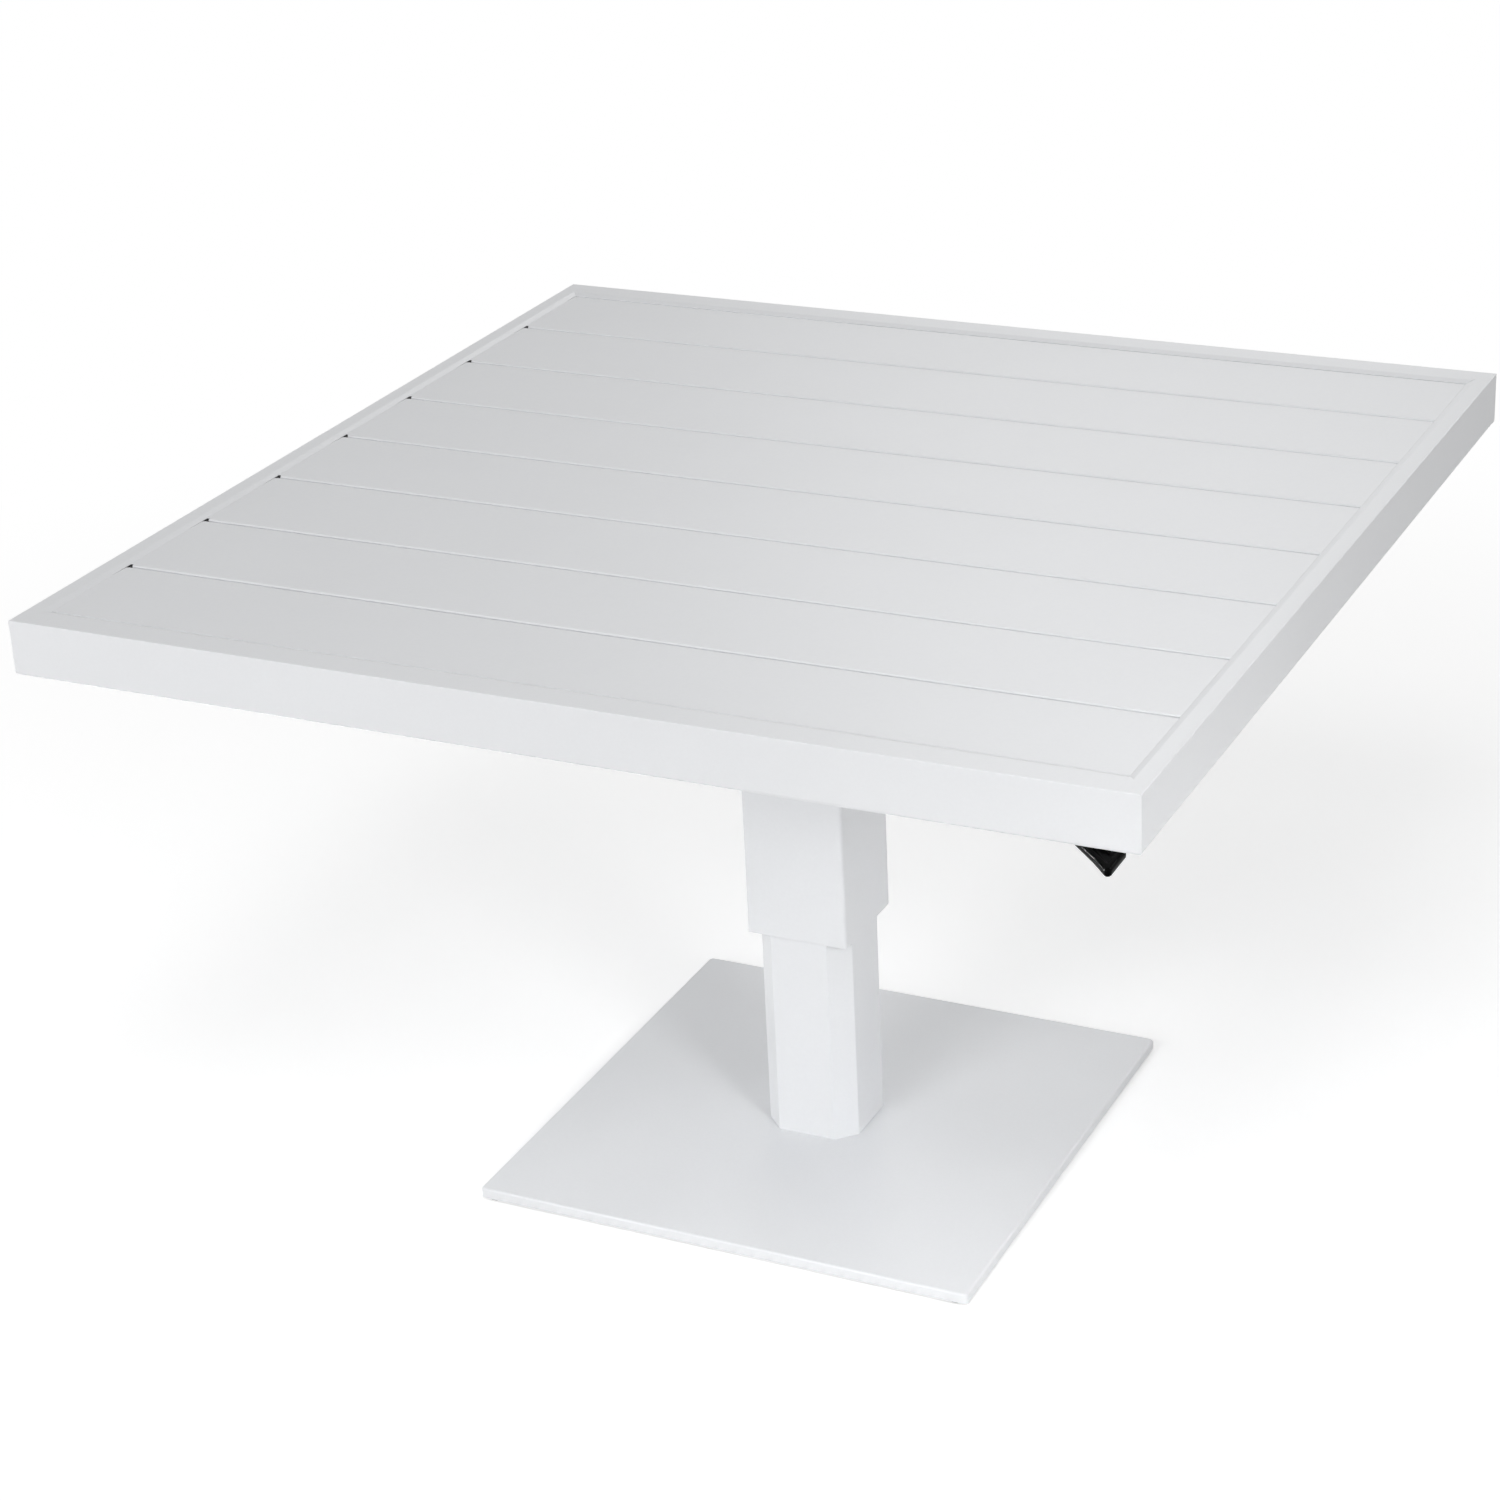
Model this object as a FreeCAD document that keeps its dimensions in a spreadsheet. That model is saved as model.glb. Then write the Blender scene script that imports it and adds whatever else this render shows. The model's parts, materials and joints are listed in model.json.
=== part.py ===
import FreeCAD, Part
import math
import os
import re
import Sketcher

# Square slatted table on a telescoping pedestal with a lockable gas spring.
# Frame: origin on the floor under the middle of the base plate, +X along the slats,
# +Y to the rear, +Z up, millimetres.  The column stands part way out, as in use.

Vector = FreeCAD.Vector
Placement = FreeCAD.Placement
Rotation = FreeCAD.Rotation

doc = FreeCAD.newDocument("pedestal_table")
sizes = doc.addObject("Spreadsheet::Sheet", "sizes")

DRIVING = (
    # table top
    ("table_height", 655),
    ("top_length", 1000),
    ("top_depth", 1000),
    ("rail_height", 50),
    ("side_rail_width", 20.5),
    ("end_rail_width", 32),
    ("rail_wall", 2),
    ("rail_foot_radius", 4),
    ("rail_edge_radius", 1),
    ("rail_lip_width", 6),
    ("rail_lip_radius", 16),
    ("ledge_width", 14),
    ("ledge_thickness", 2),
    ("cleat_length", 60),
    ("cleat_thickness", 8),
    ("cleat_clearance", 0.2),
    ("slat_count", 8),
    ("outer_slat_trim", 12),
    ("slat_gap", 2.5),
    ("slat_height", 18),
    ("slat_drop", 2),
    ("slat_wall", 1.2),
    ("slat_cells", 3),
    ("slat_edge_radius", 1.2),
    ("slat_end_gap", 0.1),
    ("rear_slat_gap", 1.2),
    ("drain_notch", 3),
    ("tongue_depth", 5),
    ("tongue_thickness", 1.8),
    ("tongue_clearance", 0.3),
    ("tongue_setback", 6),
    # frame below the slats
    ("beam_width", 40),
    ("beam_height", 25),
    ("beam_wall", 2),
    ("beam_spacing", 190),
    ("joist_width", 30),
    ("joist_wall", 2),
    ("joist_spacing", 620),
    ("slat_screw_diameter", 4),
    ("slat_screw_length", 8),
    ("slat_screw_head_diameter", 8),
    ("slat_screw_head_height", 2.5),
    ("flange_width", 270),
    ("flange_thickness", 6),
    ("flange_corner_radius", 20),
    ("flange_bolt_diameter", 8),
    ("flange_bolt_length", 18),
    ("flange_bolt_inner_row", 60),
    ("flange_bolt_outer_row", 120),
    ("bolt_head_diameter", 13),
    ("bolt_head_height", 5),
    ("rivet_nut_diameter", 11),
    ("rivet_nut_length", 15),
    ("hole_clearance", 0.1),
    ("head_clearance", 1),
    # telescoping column
    ("sleeve_width", 101.6),
    ("sleeve_wall", 2.5),
    ("sleeve_corner_radius", 3),
    ("sleeve_bottom_height", 224),
    ("sleeve_slot_width", 18),
    ("sleeve_slot_height", 25),
    ("column_width", 94),
    ("column_chamfer", 18),
    ("column_wall", 3),
    ("column_length", 360),
    ("guide_height", 25),
    ("guide_cap", 3),
    ("guide_opening", 80),
    ("guide_clearance", 0.1),
    ("guide_edge", 1),
    # base
    ("base_width", 495),
    ("base_thickness", 10),
    ("base_corner_radius", 5),
    ("base_edge_chamfer", 1.5),
    ("glide_height", 2.5),
    ("glide_diameter", 20),
    ("glide_inset", 13),
    ("glide_stem_diameter", 8),
    ("glide_stem_length", 6),
    ("foot_thickness", 12),
    ("base_bolt_diameter", 8),
    ("base_bolt_circle", 54),
    ("base_bolt_depth", 7),
    # lockable gas spring
    ("spring_diameter", 28),
    ("spring_wall", 2),
    ("spring_floor", 4),
    ("spring_length", 312.5),
    ("spring_stud_diameter", 10),
    ("gland_length", 15),
    ("gland_lip", 3),
    ("spring_fit", 0.05),
    ("rod_diameter", 10),
    ("rod_stick_out", 15),
    ("piston_length", 14),
    ("piston_height", 236),
    ("piston_clearance", 0.1),
    ("seal_height", 1.5),
    ("seal_width", 4),
    ("pin_diameter", 4),
    ("pin_clearance", 0.1),
    ("pin_reach", 4),
    ("press_clearance", 0.3),
    ("rod_nut_width", 16),
    ("rod_nut_height", 5),
    # folded bracket that hangs the gas spring from the flange
    ("bracket_width", 60),
    ("bracket_length", 40),
    ("bracket_depth", 42),
    ("bracket_wall", 3),
    ("bracket_foot", 14),
    ("bracket_bend_radius", 4),
    ("bracket_screw_diameter", 6),
    ("bracket_screw_head_diameter", 10),
    ("bracket_screw_head_height", 4),
    ("bracket_screw_spacing", 24),
    # release lever
    ("lever_heading", 45),
    ("lever_droop", 1),
    ("pivot_reach", 110),
    ("pivot_drop", 14),
    ("pivot_diameter", 6),
    ("pivot_head_diameter", 10),
    ("pivot_head_height", 2),
    ("pivot_clearance", 0.1),
    ("clip_diameter", 11),
    ("clip_thickness", 1),
    ("clip_groove", 0.8),
    ("clip_play", 0.1),
    ("pin_tail", 2),
    ("arm_width", 12),
    ("arm_height", 8),
    ("arm_overrun", 6),
    ("hub_width", 14),
    ("hub_height", 16),
    ("hub_back", 12),
    ("hub_length", 44),
    ("hub_edge", 2),
    ("fulcrum_length", 24),
    ("fulcrum_wall", 4),
    ("fulcrum_base", 3),
    ("fulcrum_depth", 22),
    ("fulcrum_side_gap", 0.3),
    ("lever_rod_diameter", 10),
    ("lever_rod_seat", 12),
    ("lever_rod_end", 520),
    ("lever_rod_fit", 0.05),
    ("paddle_start", 466),
    ("paddle_tip", 571),
    ("paddle_width", 27.4),
    ("paddle_neck_width", 17),
    ("paddle_shoulder", 500),
    ("paddle_waist", 542),
    ("paddle_waist_depth", 0.5),
    ("paddle_flare", 1),
    ("paddle_slant", 45),
    ("paddle_thickness", 7),
    ("paddle_corner_radius", 3.4),
    ("paddle_edge_radius", 2.4),
    ("paddle_edge_chamfer", 1.2),
    ("paddle_boss_wall", 3),
    ("paddle_spine_end", 546),
    ("paddle_spine_tip", 2),
    ("paddle_rim", 5.5),
    ("paddle_dish_depth", 1.2),
)

# Sizes that follow from the driving ones, as formulas of their names.
DERIVED = {
    "base_top": "glide_height + base_thickness",
    "column_top": "base_top + column_length",
    "octagon_share": "2 - sqrt(2)",
    "foot_top": "base_top + foot_thickness",
    "spring_bore": "spring_diameter - 2 * spring_wall",
    "slat_top": "table_height - slat_drop",
    "slat_bottom": "slat_top - slat_height",
    "beam_bottom": "slat_bottom - beam_height",
    "flange_bottom": "beam_bottom - flange_thickness",
    "rail_bottom": "table_height - rail_height",
    "ledge_top": "rail_height - slat_drop - slat_height",
    "slat_length": "top_length - 2 * side_rail_width - 2 * slat_end_gap",
    "inner_depth": "top_depth - 2 * end_rail_width",
    "slat_pitch": "(inner_depth + outer_slat_trim) / slat_count",
    "first_groove": "-(slat_count - 2) * slat_pitch / 2",
    "sleeve_length": "flange_bottom - sleeve_bottom_height",
    "sleeve_bore": "sleeve_width - 2 * sleeve_wall",
    "guide_radius": "sleeve_corner_radius - sleeve_wall",
    "column_bore": "column_width - 2 * column_wall",
    "column_bore_chamfer": "column_chamfer - column_wall * octagon_share",
    "guide_bore": "column_width + 2 * guide_clearance",
    "guide_bore_chamfer": "column_chamfer + guide_clearance * octagon_share",
    "bracket_bottom": "flange_bottom - bracket_depth",
    "bracket_screw_reach": "(bracket_width + bracket_foot) / 2",
    "rod_top": "bracket_bottom + rod_stick_out",
    "rod_length": "rod_top - piston_height",
    "pivot_height": "flange_bottom - pivot_drop",
    "press_height": "pivot_height + pivot_reach * sin(lever_droop) - arm_height / 2 / cos(lever_droop)",
    "pin_bottom": "piston_height + pin_reach",
    "pin_top": "press_height - press_clearance",
    "fulcrum_gap": "hub_width + 2 * fulcrum_side_gap",
    "fulcrum_width": "fulcrum_gap + 2 * fulcrum_wall",
    "clip_start": "fulcrum_width / 2 + pivot_clearance + clip_play / 2",
    "hub_front": "hub_length - hub_back",
    "paddle_slant_run": "(paddle_width + paddle_flare) / tan(paddle_slant)",
    "boss_radius": "lever_rod_diameter / 2 + paddle_boss_wall",
}

for row, (alias, number) in enumerate(DRIVING, start=1):
    sizes.set(f"A{row}", alias)
    sizes.set(f"B{row}", str(number))
    sizes.setAlias(f"B{row}", alias)
doc.recompute()

ALIASES = {alias for alias, _ in DRIVING}
# Small shanks, the holes that they pass and the gas spring's inner rings have flat sides, to keep
# their count of facets low.
SIDES = 6
RING_SIDES = 24
ANGLES = {"lever_heading", "lever_droop", "paddle_slant"}
subparts = []


def formula(text):
    """Expression for the document: names become sheet cells or their own formulas."""

    def expand(match):
        word = match.group(0)
        if word in DERIVED:
            return "(" + formula(DERIVED[word]) + ")"
        if word in ANGLES:
            return "(sizes." + word + " * 1deg)"
        if word in ALIASES:
            return "sizes." + word
        return word

    return re.sub(r"[A-Za-z_]\w*", expand, str(text))


def value(text):
    """Number that a formula gives with the sheet's present sizes."""
    result = sizes.evalExpression(formula(text))
    return float(getattr(result, "Value", result))


def half(name):
    return f"({name}) / 2"


# ---------------------------------------------------------------- building blocks


def new_body(name):
    body = doc.addObject("PartDesign::Body", name)
    body.Label = name
    body.AllowCompound = True
    return body


def origin_feature(body, role):
    return next(feature for feature in body.Origin.OriginFeatures if feature.Role == role)


def new_sketch(body, name, role):
    sketch = body.newObject("Sketcher::SketchObject", f"{body.Name}_{name}")
    sketch.AttachmentSupport = [(origin_feature(body, role), "")]
    sketch.MapMode = "FlatFace"
    return sketch


def bind(sketch, kind, arguments, text):
    index = sketch.addConstraint(Sketcher.Constraint(kind, *arguments, value(text)))
    sketch.setExpression(f"Constraints[{index}]", formula(text))


def add_outline(sketch, points):
    """Closed outline through points, each a pair of formulas in the sketch's axes."""
    start = sketch.GeometryCount
    count = len(points)
    places = [Vector(value(across), value(up), 0) for across, up in points]
    for index in range(count):
        line = Part.LineSegment(places[index], places[(index + 1) % count])
        sketch.addGeometry(line, False)
    for index in range(count):
        after = start + (index + 1) % count
        sketch.addConstraint(Sketcher.Constraint("Coincident", start + index, 2, after, 1))
    for index, (across, up) in enumerate(points):
        bind(sketch, "DistanceX", (start + index, 1), across)
        bind(sketch, "DistanceY", (start + index, 1), up)


def add_circle(sketch, across, up, diameter):
    start = sketch.GeometryCount
    centre = Vector(value(across), value(up), 0)
    sketch.addGeometry(Part.Circle(centre, Vector(0, 0, 1), value(diameter) / 2), False)
    bind(sketch, "DistanceX", (start, 3), across)
    bind(sketch, "DistanceY", (start, 3), up)
    bind(sketch, "Radius", (start,), half(diameter))


def add_facets(sketch, across, up, width, sides=SIDES, turn=0):
    """Regular outline of a width across its flats; turn is the angle of the first flat, in degrees."""
    corner = 1 / math.cos(math.pi / sides)
    points = []
    for index in range(sides):
        angle = (2 * index + 1) * math.pi / sides + math.radians(turn)
        points.append((
            f"({across}) + ({width}) / 2 * ({corner * math.cos(angle):.9f})",
            f"({up}) + ({width}) / 2 * ({corner * math.sin(angle):.9f})",
        ))
    add_outline(sketch, points)


def rectangle(left, low, right, high):
    return [(left, low), (right, low), (right, high), (left, high)]


def centred_square(width):
    reach = half(width)
    return rectangle(f"-{reach}", f"-{reach}", reach, reach)


def octagon(width, chamfer):
    """Square of a width whose corners are cut off by a chamfer."""
    out = half(width)
    inner = f"({out} - ({chamfer}))"
    return [
        (out, f"-{inner}"), (out, inner), (inner, out), (f"-{inner}", out),
        (f"-{out}", inner), (f"-{out}", f"-{inner}"), (f"-{inner}", f"-{out}"), (inner, f"-{out}"),
    ]


def pad(body, sketch, length, both_ways=False, reverse=False):
    feature = body.newObject("PartDesign::Pad", f"{sketch.Name}_pad")
    feature.Profile = sketch
    feature.Length = value(length)
    feature.setExpression("Length", formula(length))
    feature.Midplane = both_ways
    feature.Reversed = reverse
    doc.recompute()
    return feature


def pocket(body, sketch, length, both_ways=False, forward=False):
    """Cut along the sketch's normal when forward, else against it; it has to remove metal."""
    before = body.Shape.Volume
    feature = body.newObject("PartDesign::Pocket", f"{sketch.Name}_pocket")
    feature.Profile = sketch
    feature.Length = value(length)
    feature.setExpression("Length", formula(length))
    feature.Midplane = both_ways
    feature.Reversed = forward
    doc.recompute()
    if body.Shape.Volume >= before - 1e-6:
        raise RuntimeError(f"{feature.Name} removes nothing")
    return feature


def revolve(body, sketch, axis="V_Axis"):
    feature = body.newObject("PartDesign::Revolution", f"{sketch.Name}_turn")
    feature.Profile = sketch
    feature.ReferenceAxis = (sketch, [axis])
    feature.Angle = 360
    doc.recompute()
    return feature


def edges_where(body, test):
    names = [f"Edge{i}" for i, edge in enumerate(body.Shape.Edges, start=1) if test(edge)]
    if not names:
        raise RuntimeError(f"no edge of {body.Name} fits")
    return names


def dress(body, kind, edges, size):
    """Fillet or Chamfer on the body's present tip."""
    base = body.Tip
    feature = body.newObject(f"PartDesign::{kind}", f"{body.Name}_{kind}_{len(body.Group)}")
    feature.Base = (base, edges)
    target = "Radius" if kind == "Fillet" else "Size"
    setattr(feature, target, value(size))
    feature.setExpression(target, formula(size))
    doc.recompute()
    return feature


def runs_along(edge, axis):
    """True for a straight edge parallel to the axis, 0 for X, 1 for Y and 2 for Z."""
    if edge.Curve.TypeId != "Part::GeomLine":
        return False
    return abs(abs(edge.Curve.Direction[axis]) - 1) < 1e-6


def near(first, second, slack=0.01):
    return abs(first - second) < slack


def upright_corners(body, width):
    """Vertical edges at the four corners of a centred square of a width."""
    reach = value(half(width))
    return edges_where(
        body,
        lambda edge: runs_along(edge, 2)
        and near(abs(edge.CenterOfMass.x), reach)
        and near(abs(edge.CenterOfMass.y), reach),
    )


def put(item, x="0", y="0", z="0", rotation=None):
    """Place an object; its position stays bound to the sheet."""
    item.Placement = Placement(Vector(value(x), value(y), value(z)), rotation or Rotation())
    item.setExpression("Placement.Base.x", formula(x))
    item.setExpression("Placement.Base.y", formula(y))
    item.setExpression("Placement.Base.z", formula(z))


def turned(angle):
    return Rotation(Vector(0, 0, 1), angle)


def keep(item):
    subparts.append(item)
    return item


def group(name, item, places):
    """One node of equal separate solids: links to the item, each at its own place."""
    links = []
    for index, place in enumerate(places, start=1):
        link = doc.addObject("App::Link", f"{name}_{index}")
        link.setLink(item)
        x, y, z, *rest = place
        put(link, x, y, z, turned(rest[0]) if rest else None)
        links.append(link)
    compound = doc.addObject("Part::Compound", name)
    compound.Label = name
    compound.Links = links
    return keep(compound)


def turned_piece(name, points):
    """Round piece about Z from a half section of radius and height pairs."""
    body = new_body(name)
    sketch = new_sketch(body, "section", "XZ_Plane")
    add_outline(sketch, points)
    revolve(body, sketch)
    return body


def add_ring(sketch, outer, bore):
    """Many-sided ring: its corners reach the outer diameter, its bore's flats clear the bore's."""
    add_facets(sketch, "0", "0", f"({outer}) * {math.cos(math.pi / RING_SIDES):.9f}", RING_SIDES)
    add_facets(sketch, "0", "0", bore, RING_SIDES)


def square_pairs(reach_x, reach_y, z):
    """Four places mirrored about both upright planes."""
    return [(f"{sx}({reach_x})", f"{sy}({reach_y})", z) for sx in "+-" for sy in "+-"]


# ---------------------------------------------------------------- base


def make_base_plate():
    body = new_body("base_plate")
    plan = new_sketch(body, "plan", "XY_Plane")
    add_outline(plan, centred_square("base_width"))
    pad(body, plan, "base_thickness")
    dress(body, "Fillet", upright_corners(body, "base_width"), "base_corner_radius")
    top = value("base_thickness")
    rim = edges_where(body, lambda edge: all(near(v.Z, top) for v in edge.Vertexes))
    dress(body, "Chamfer", rim, "base_edge_chamfer")
    bolts = new_sketch(body, "bolt_holes", "XY_Plane")
    heads = new_sketch(body, "bolt_heads", "XY_Plane")
    stems = new_sketch(body, "stem_holes", "XY_Plane")
    reach = half("base_bolt_circle")
    stem = "base_width / 2 - glide_inset"
    for x, y, _ in square_pairs(reach, reach, "0"):
        add_facets(bolts, x, y, "base_bolt_diameter + 2 * hole_clearance")
        add_facets(heads, x, y, "bolt_head_diameter + head_clearance")
    for x, y, _ in square_pairs(stem, stem, "0"):
        add_facets(stems, x, y, "glide_stem_diameter + 2 * hole_clearance")
    pocket(body, bolts, "base_thickness", forward=True)
    pocket(body, heads, "base_bolt_depth", forward=True)
    pocket(body, stems, "glide_stem_length + hole_clearance", forward=True)
    put(body, z="glide_height")
    return keep(body)


def make_base_glides():
    glide = new_body("one_glide")
    foot = new_sketch(glide, "foot", "XY_Plane")
    add_facets(foot, "0", "0", "glide_diameter", 2 * SIDES)
    pad(glide, foot, "glide_height")
    stem = new_sketch(glide, "stem", "XY_Plane")
    add_facets(stem, "0", "0", "glide_stem_diameter")
    pad(glide, stem, "glide_height + glide_stem_length")
    reach = "base_width / 2 - glide_inset"
    return group("base_glides", glide, square_pairs(reach, reach, "0"))


def cap_screw(name, head, head_height, shank, shank_length):
    """Screw with a hexagon head that hangs below height zero, where the head seats."""
    body = new_body(name)
    cap = new_sketch(body, "head", "XY_Plane")
    add_facets(cap, "0", "0", head)
    pad(body, cap, head_height, reverse=True)
    stem = new_sketch(body, "shank", "XY_Plane")
    add_facets(stem, "0", "0", shank)
    pad(body, stem, shank_length)
    return body


def make_base_bolts():
    length = "base_thickness - base_bolt_depth + foot_thickness"
    bolt = cap_screw(
        "one_base_bolt", "bolt_head_diameter", "bolt_head_height", "base_bolt_diameter", length
    )
    reach = half("base_bolt_circle")
    seat = "glide_height + base_bolt_depth"
    return group("base_bolts", bolt, square_pairs(reach, reach, seat))


def make_column_foot():
    body = new_body("column_foot")
    plan = new_sketch(body, "plan", "XY_Plane")
    add_outline(plan, octagon("column_bore", "column_bore_chamfer"))
    reach = half("base_bolt_circle")
    for x, y, _ in square_pairs(reach, reach, "0"):
        add_facets(plan, x, y, "base_bolt_diameter + 2 * hole_clearance")
    add_facets(plan, "0", "0", "spring_stud_diameter + 2 * hole_clearance", 2 * SIDES)
    pad(body, plan, "foot_thickness")
    put(body, z="base_top")
    return keep(body)


def make_lower_column():
    body = new_body("lower_column")
    section = new_sketch(body, "section", "XY_Plane")
    add_outline(section, octagon("column_width", "column_chamfer"))
    add_outline(section, octagon("column_bore", "column_bore_chamfer"))
    pad(body, section, "column_length")
    put(body, z="base_top")
    return keep(body)


def make_column_top_guide():
    """Moulded cap over the end of the column; its square outside runs in the sleeve."""
    body = new_body("column_top_guide")
    outer = "sleeve_bore - 2 * guide_clearance"
    skirt = new_sketch(body, "skirt", "XY_Plane")
    add_outline(skirt, centred_square(outer))
    add_outline(skirt, octagon("column_width", "column_chamfer"))
    pad(body, skirt, "guide_height - guide_cap", reverse=True)
    cap = new_sketch(body, "cap", "XY_Plane")
    add_outline(cap, centred_square(outer))
    add_outline(cap, octagon("guide_opening", "column_chamfer"))
    pad(body, cap, "guide_cap")
    dress(body, "Chamfer", upright_corners(body, outer), "guide_edge")
    put(body, z="column_top")
    return keep(body)


def make_gas_spring_cylinder():
    outer = half("spring_diameter")
    inner = half("spring_bore")
    stud = half("spring_stud_diameter")
    body = turned_piece("gas_spring_cylinder", [
        ("0", "-foot_thickness"), (stud, "-foot_thickness"), (stud, "0"), (outer, "0"),
        (outer, "spring_length"), (inner, "spring_length"), (inner, "spring_floor"),
        ("0", "spring_floor"),
    ])
    put(body, z="foot_top")
    return keep(body)


def make_gas_spring_gland():
    """Plug in the cylinder's mouth, with a lip on its rim and a bore that the rod slides in."""
    body = new_body("gas_spring_gland")
    bore = "rod_diameter + 2 * piston_clearance"
    plug = new_sketch(body, "plug", "XY_Plane")
    add_ring(plug, "spring_bore - 2 * spring_fit", bore)
    pad(body, plug, "gland_length", reverse=True)
    lip = new_sketch(body, "lip", "XY_Plane")
    add_ring(lip, "spring_diameter", bore)
    pad(body, lip, "gland_lip")
    put(body, z="foot_top + spring_length")
    return keep(body)


# ---------------------------------------------------------------- parts that rise with the top


def make_sleeve():
    """Square tube; the release lever comes in through a slot at the top of one corner."""
    body = new_body("sleeve")
    section = new_sketch(body, "section", "XY_Plane")
    add_outline(section, centred_square("sleeve_width"))
    pad(body, section, "sleeve_length")
    dress(body, "Fillet", upright_corners(body, "sleeve_width"), "sleeve_corner_radius")
    bore = new_sketch(body, "bore", "XY_Plane")
    add_outline(bore, centred_square("sleeve_bore"))
    pocket(body, bore, "sleeve_length", forward=True)
    dress(body, "Fillet", upright_corners(body, "sleeve_bore"), "guide_radius")
    slot = new_sketch(body, "lever_slot", "YZ_Plane")
    slot.AttachmentOffset = Placement(Vector(), Rotation(Vector(0, 1, 0), -value("lever_heading")))
    side = half("sleeve_slot_width")
    low = "sleeve_length - sleeve_slot_height"
    add_outline(slot, rectangle(f"-{side}", low, side, "sleeve_length"))
    pocket(body, slot, "sleeve_width", forward=True)
    put(body, z="sleeve_bottom_height")
    return keep(body)


def make_sleeve_bottom_guide():
    body = new_body("sleeve_bottom_guide")
    ring = new_sketch(body, "ring", "XY_Plane")
    add_outline(ring, centred_square("sleeve_bore"))
    add_outline(ring, octagon("guide_bore", "guide_bore_chamfer"))
    pad(body, ring, "guide_height")
    dress(body, "Chamfer", upright_corners(body, "sleeve_bore"), "guide_radius")
    put(body, z="sleeve_bottom_height")
    return keep(body)


def flange_bolt_places(z):
    across = half("beam_spacing")
    inner = square_pairs(across, "flange_bolt_inner_row", z)
    return inner + square_pairs(across, "flange_bolt_outer_row", z)


def bracket_screw_places(z):
    """Four places in the bracket's feet, which lie to the left and right of the lever."""
    turn = -value("lever_heading")
    places = []
    for along, across, _ in square_pairs("bracket_screw_spacing / 2", "bracket_screw_reach", z):
        x = f"({along}) * cos(lever_heading) + ({across}) * sin(lever_heading)"
        y = f"({across}) * cos(lever_heading) - ({along}) * sin(lever_heading)"
        places.append((x, y, z, turn))
    return places


def make_mounting_flange():
    body = new_body("mounting_flange")
    plan = new_sketch(body, "plan", "XY_Plane")
    add_outline(plan, centred_square("flange_width"))
    for x, y, _ in flange_bolt_places("0"):
        add_facets(plan, x, y, "flange_bolt_diameter + 2 * hole_clearance")
    for x, y, _, turn in bracket_screw_places("0"):
        add_facets(plan, x, y, "bracket_screw_diameter + 2 * hole_clearance", turn=turn)
    pad(body, plan, "flange_thickness")
    dress(body, "Fillet", upright_corners(body, "flange_width"), "flange_corner_radius")
    put(body, z="flange_bottom")
    return keep(body)


def make_flange_bolts():
    bolt = cap_screw(
        "one_flange_bolt", "bolt_head_diameter", "bolt_head_height",
        "flange_bolt_diameter", "flange_bolt_length",
    )
    return group("flange_bolts", bolt, flange_bolt_places("flange_bottom"))


def make_beam_rivet_nuts():
    nut = new_body("one_rivet_nut")
    plan = new_sketch(nut, "plan", "XY_Plane")
    add_facets(plan, "0", "0", "rivet_nut_diameter")
    add_facets(plan, "0", "0", "flange_bolt_diameter + 2 * hole_clearance")
    pad(nut, plan, "rivet_nut_length")
    return group("beam_rivet_nuts", nut, flange_bolt_places("beam_bottom"))


def make_spring_bracket():
    """Folded strip that hangs inside the sleeve, in line with the lever, and holds the rod's end."""
    body = new_body("spring_bracket")
    section = new_sketch(body, "section", "YZ_Plane")
    wall = half("bracket_width")
    inner = f"({wall} - bracket_wall)"
    foot = f"({wall} + bracket_foot)"
    under = "bracket_depth - bracket_wall"
    add_outline(section, [
        (f"-{wall}", "0"), (wall, "0"), (wall, under), (foot, under), (foot, "bracket_depth"),
        (inner, "bracket_depth"), (inner, "bracket_wall"), (f"-{inner}", "bracket_wall"),
        (f"-{inner}", "bracket_depth"), (f"-{foot}", "bracket_depth"), (f"-{foot}", under),
        (f"-{wall}", under),
    ])
    pad(body, section, "bracket_length", both_ways=True)
    bends = edges_where(body, lambda edge: runs_along(edge, 0) and near(edge.CenterOfMass.z, 0))
    dress(body, "Fillet", bends, "bracket_bend_radius")
    holes = new_sketch(body, "holes", "XY_Plane")
    add_facets(holes, "0", "0", "rod_diameter + 2 * hole_clearance", 2 * SIDES)
    for along, across, _ in square_pairs("bracket_screw_spacing / 2", "bracket_screw_reach", "0"):
        add_facets(holes, along, across, "bracket_screw_diameter + 2 * hole_clearance")
    pocket(body, holes, "bracket_depth", forward=True)
    put(body, z="bracket_bottom", rotation=heading())
    return keep(body)


def make_bracket_screws():
    screw = cap_screw(
        "one_bracket_screw", "bracket_screw_head_diameter", "bracket_screw_head_height",
        "bracket_screw_diameter", "bracket_wall + flange_thickness",
    )
    return group("bracket_screws", screw, bracket_screw_places("flange_bottom - bracket_wall"))


def make_rod_nuts():
    body = new_body("one_rod_nut")
    plan = new_sketch(body, "plan", "XY_Plane")
    add_facets(plan, "0", "0", "rod_nut_width")
    add_facets(plan, "0", "0", "rod_diameter + 2 * hole_clearance", 2 * SIDES)
    pad(body, plan, "rod_nut_height")
    above = ("0", "0", "bracket_bottom + bracket_wall")
    below = ("0", "0", "bracket_bottom - rod_nut_height")
    return group("rod_nuts", body, [above, below])


def make_piston_rod():
    bore = "(pin_diameter / 2 + pin_clearance)"
    outer = half("rod_diameter")
    body = turned_piece("piston_rod", [
        (bore, "0"), (outer, "0"), (outer, "rod_length"), (bore, "rod_length"),
    ])
    put(body, z="piston_height")
    return keep(body)


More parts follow.
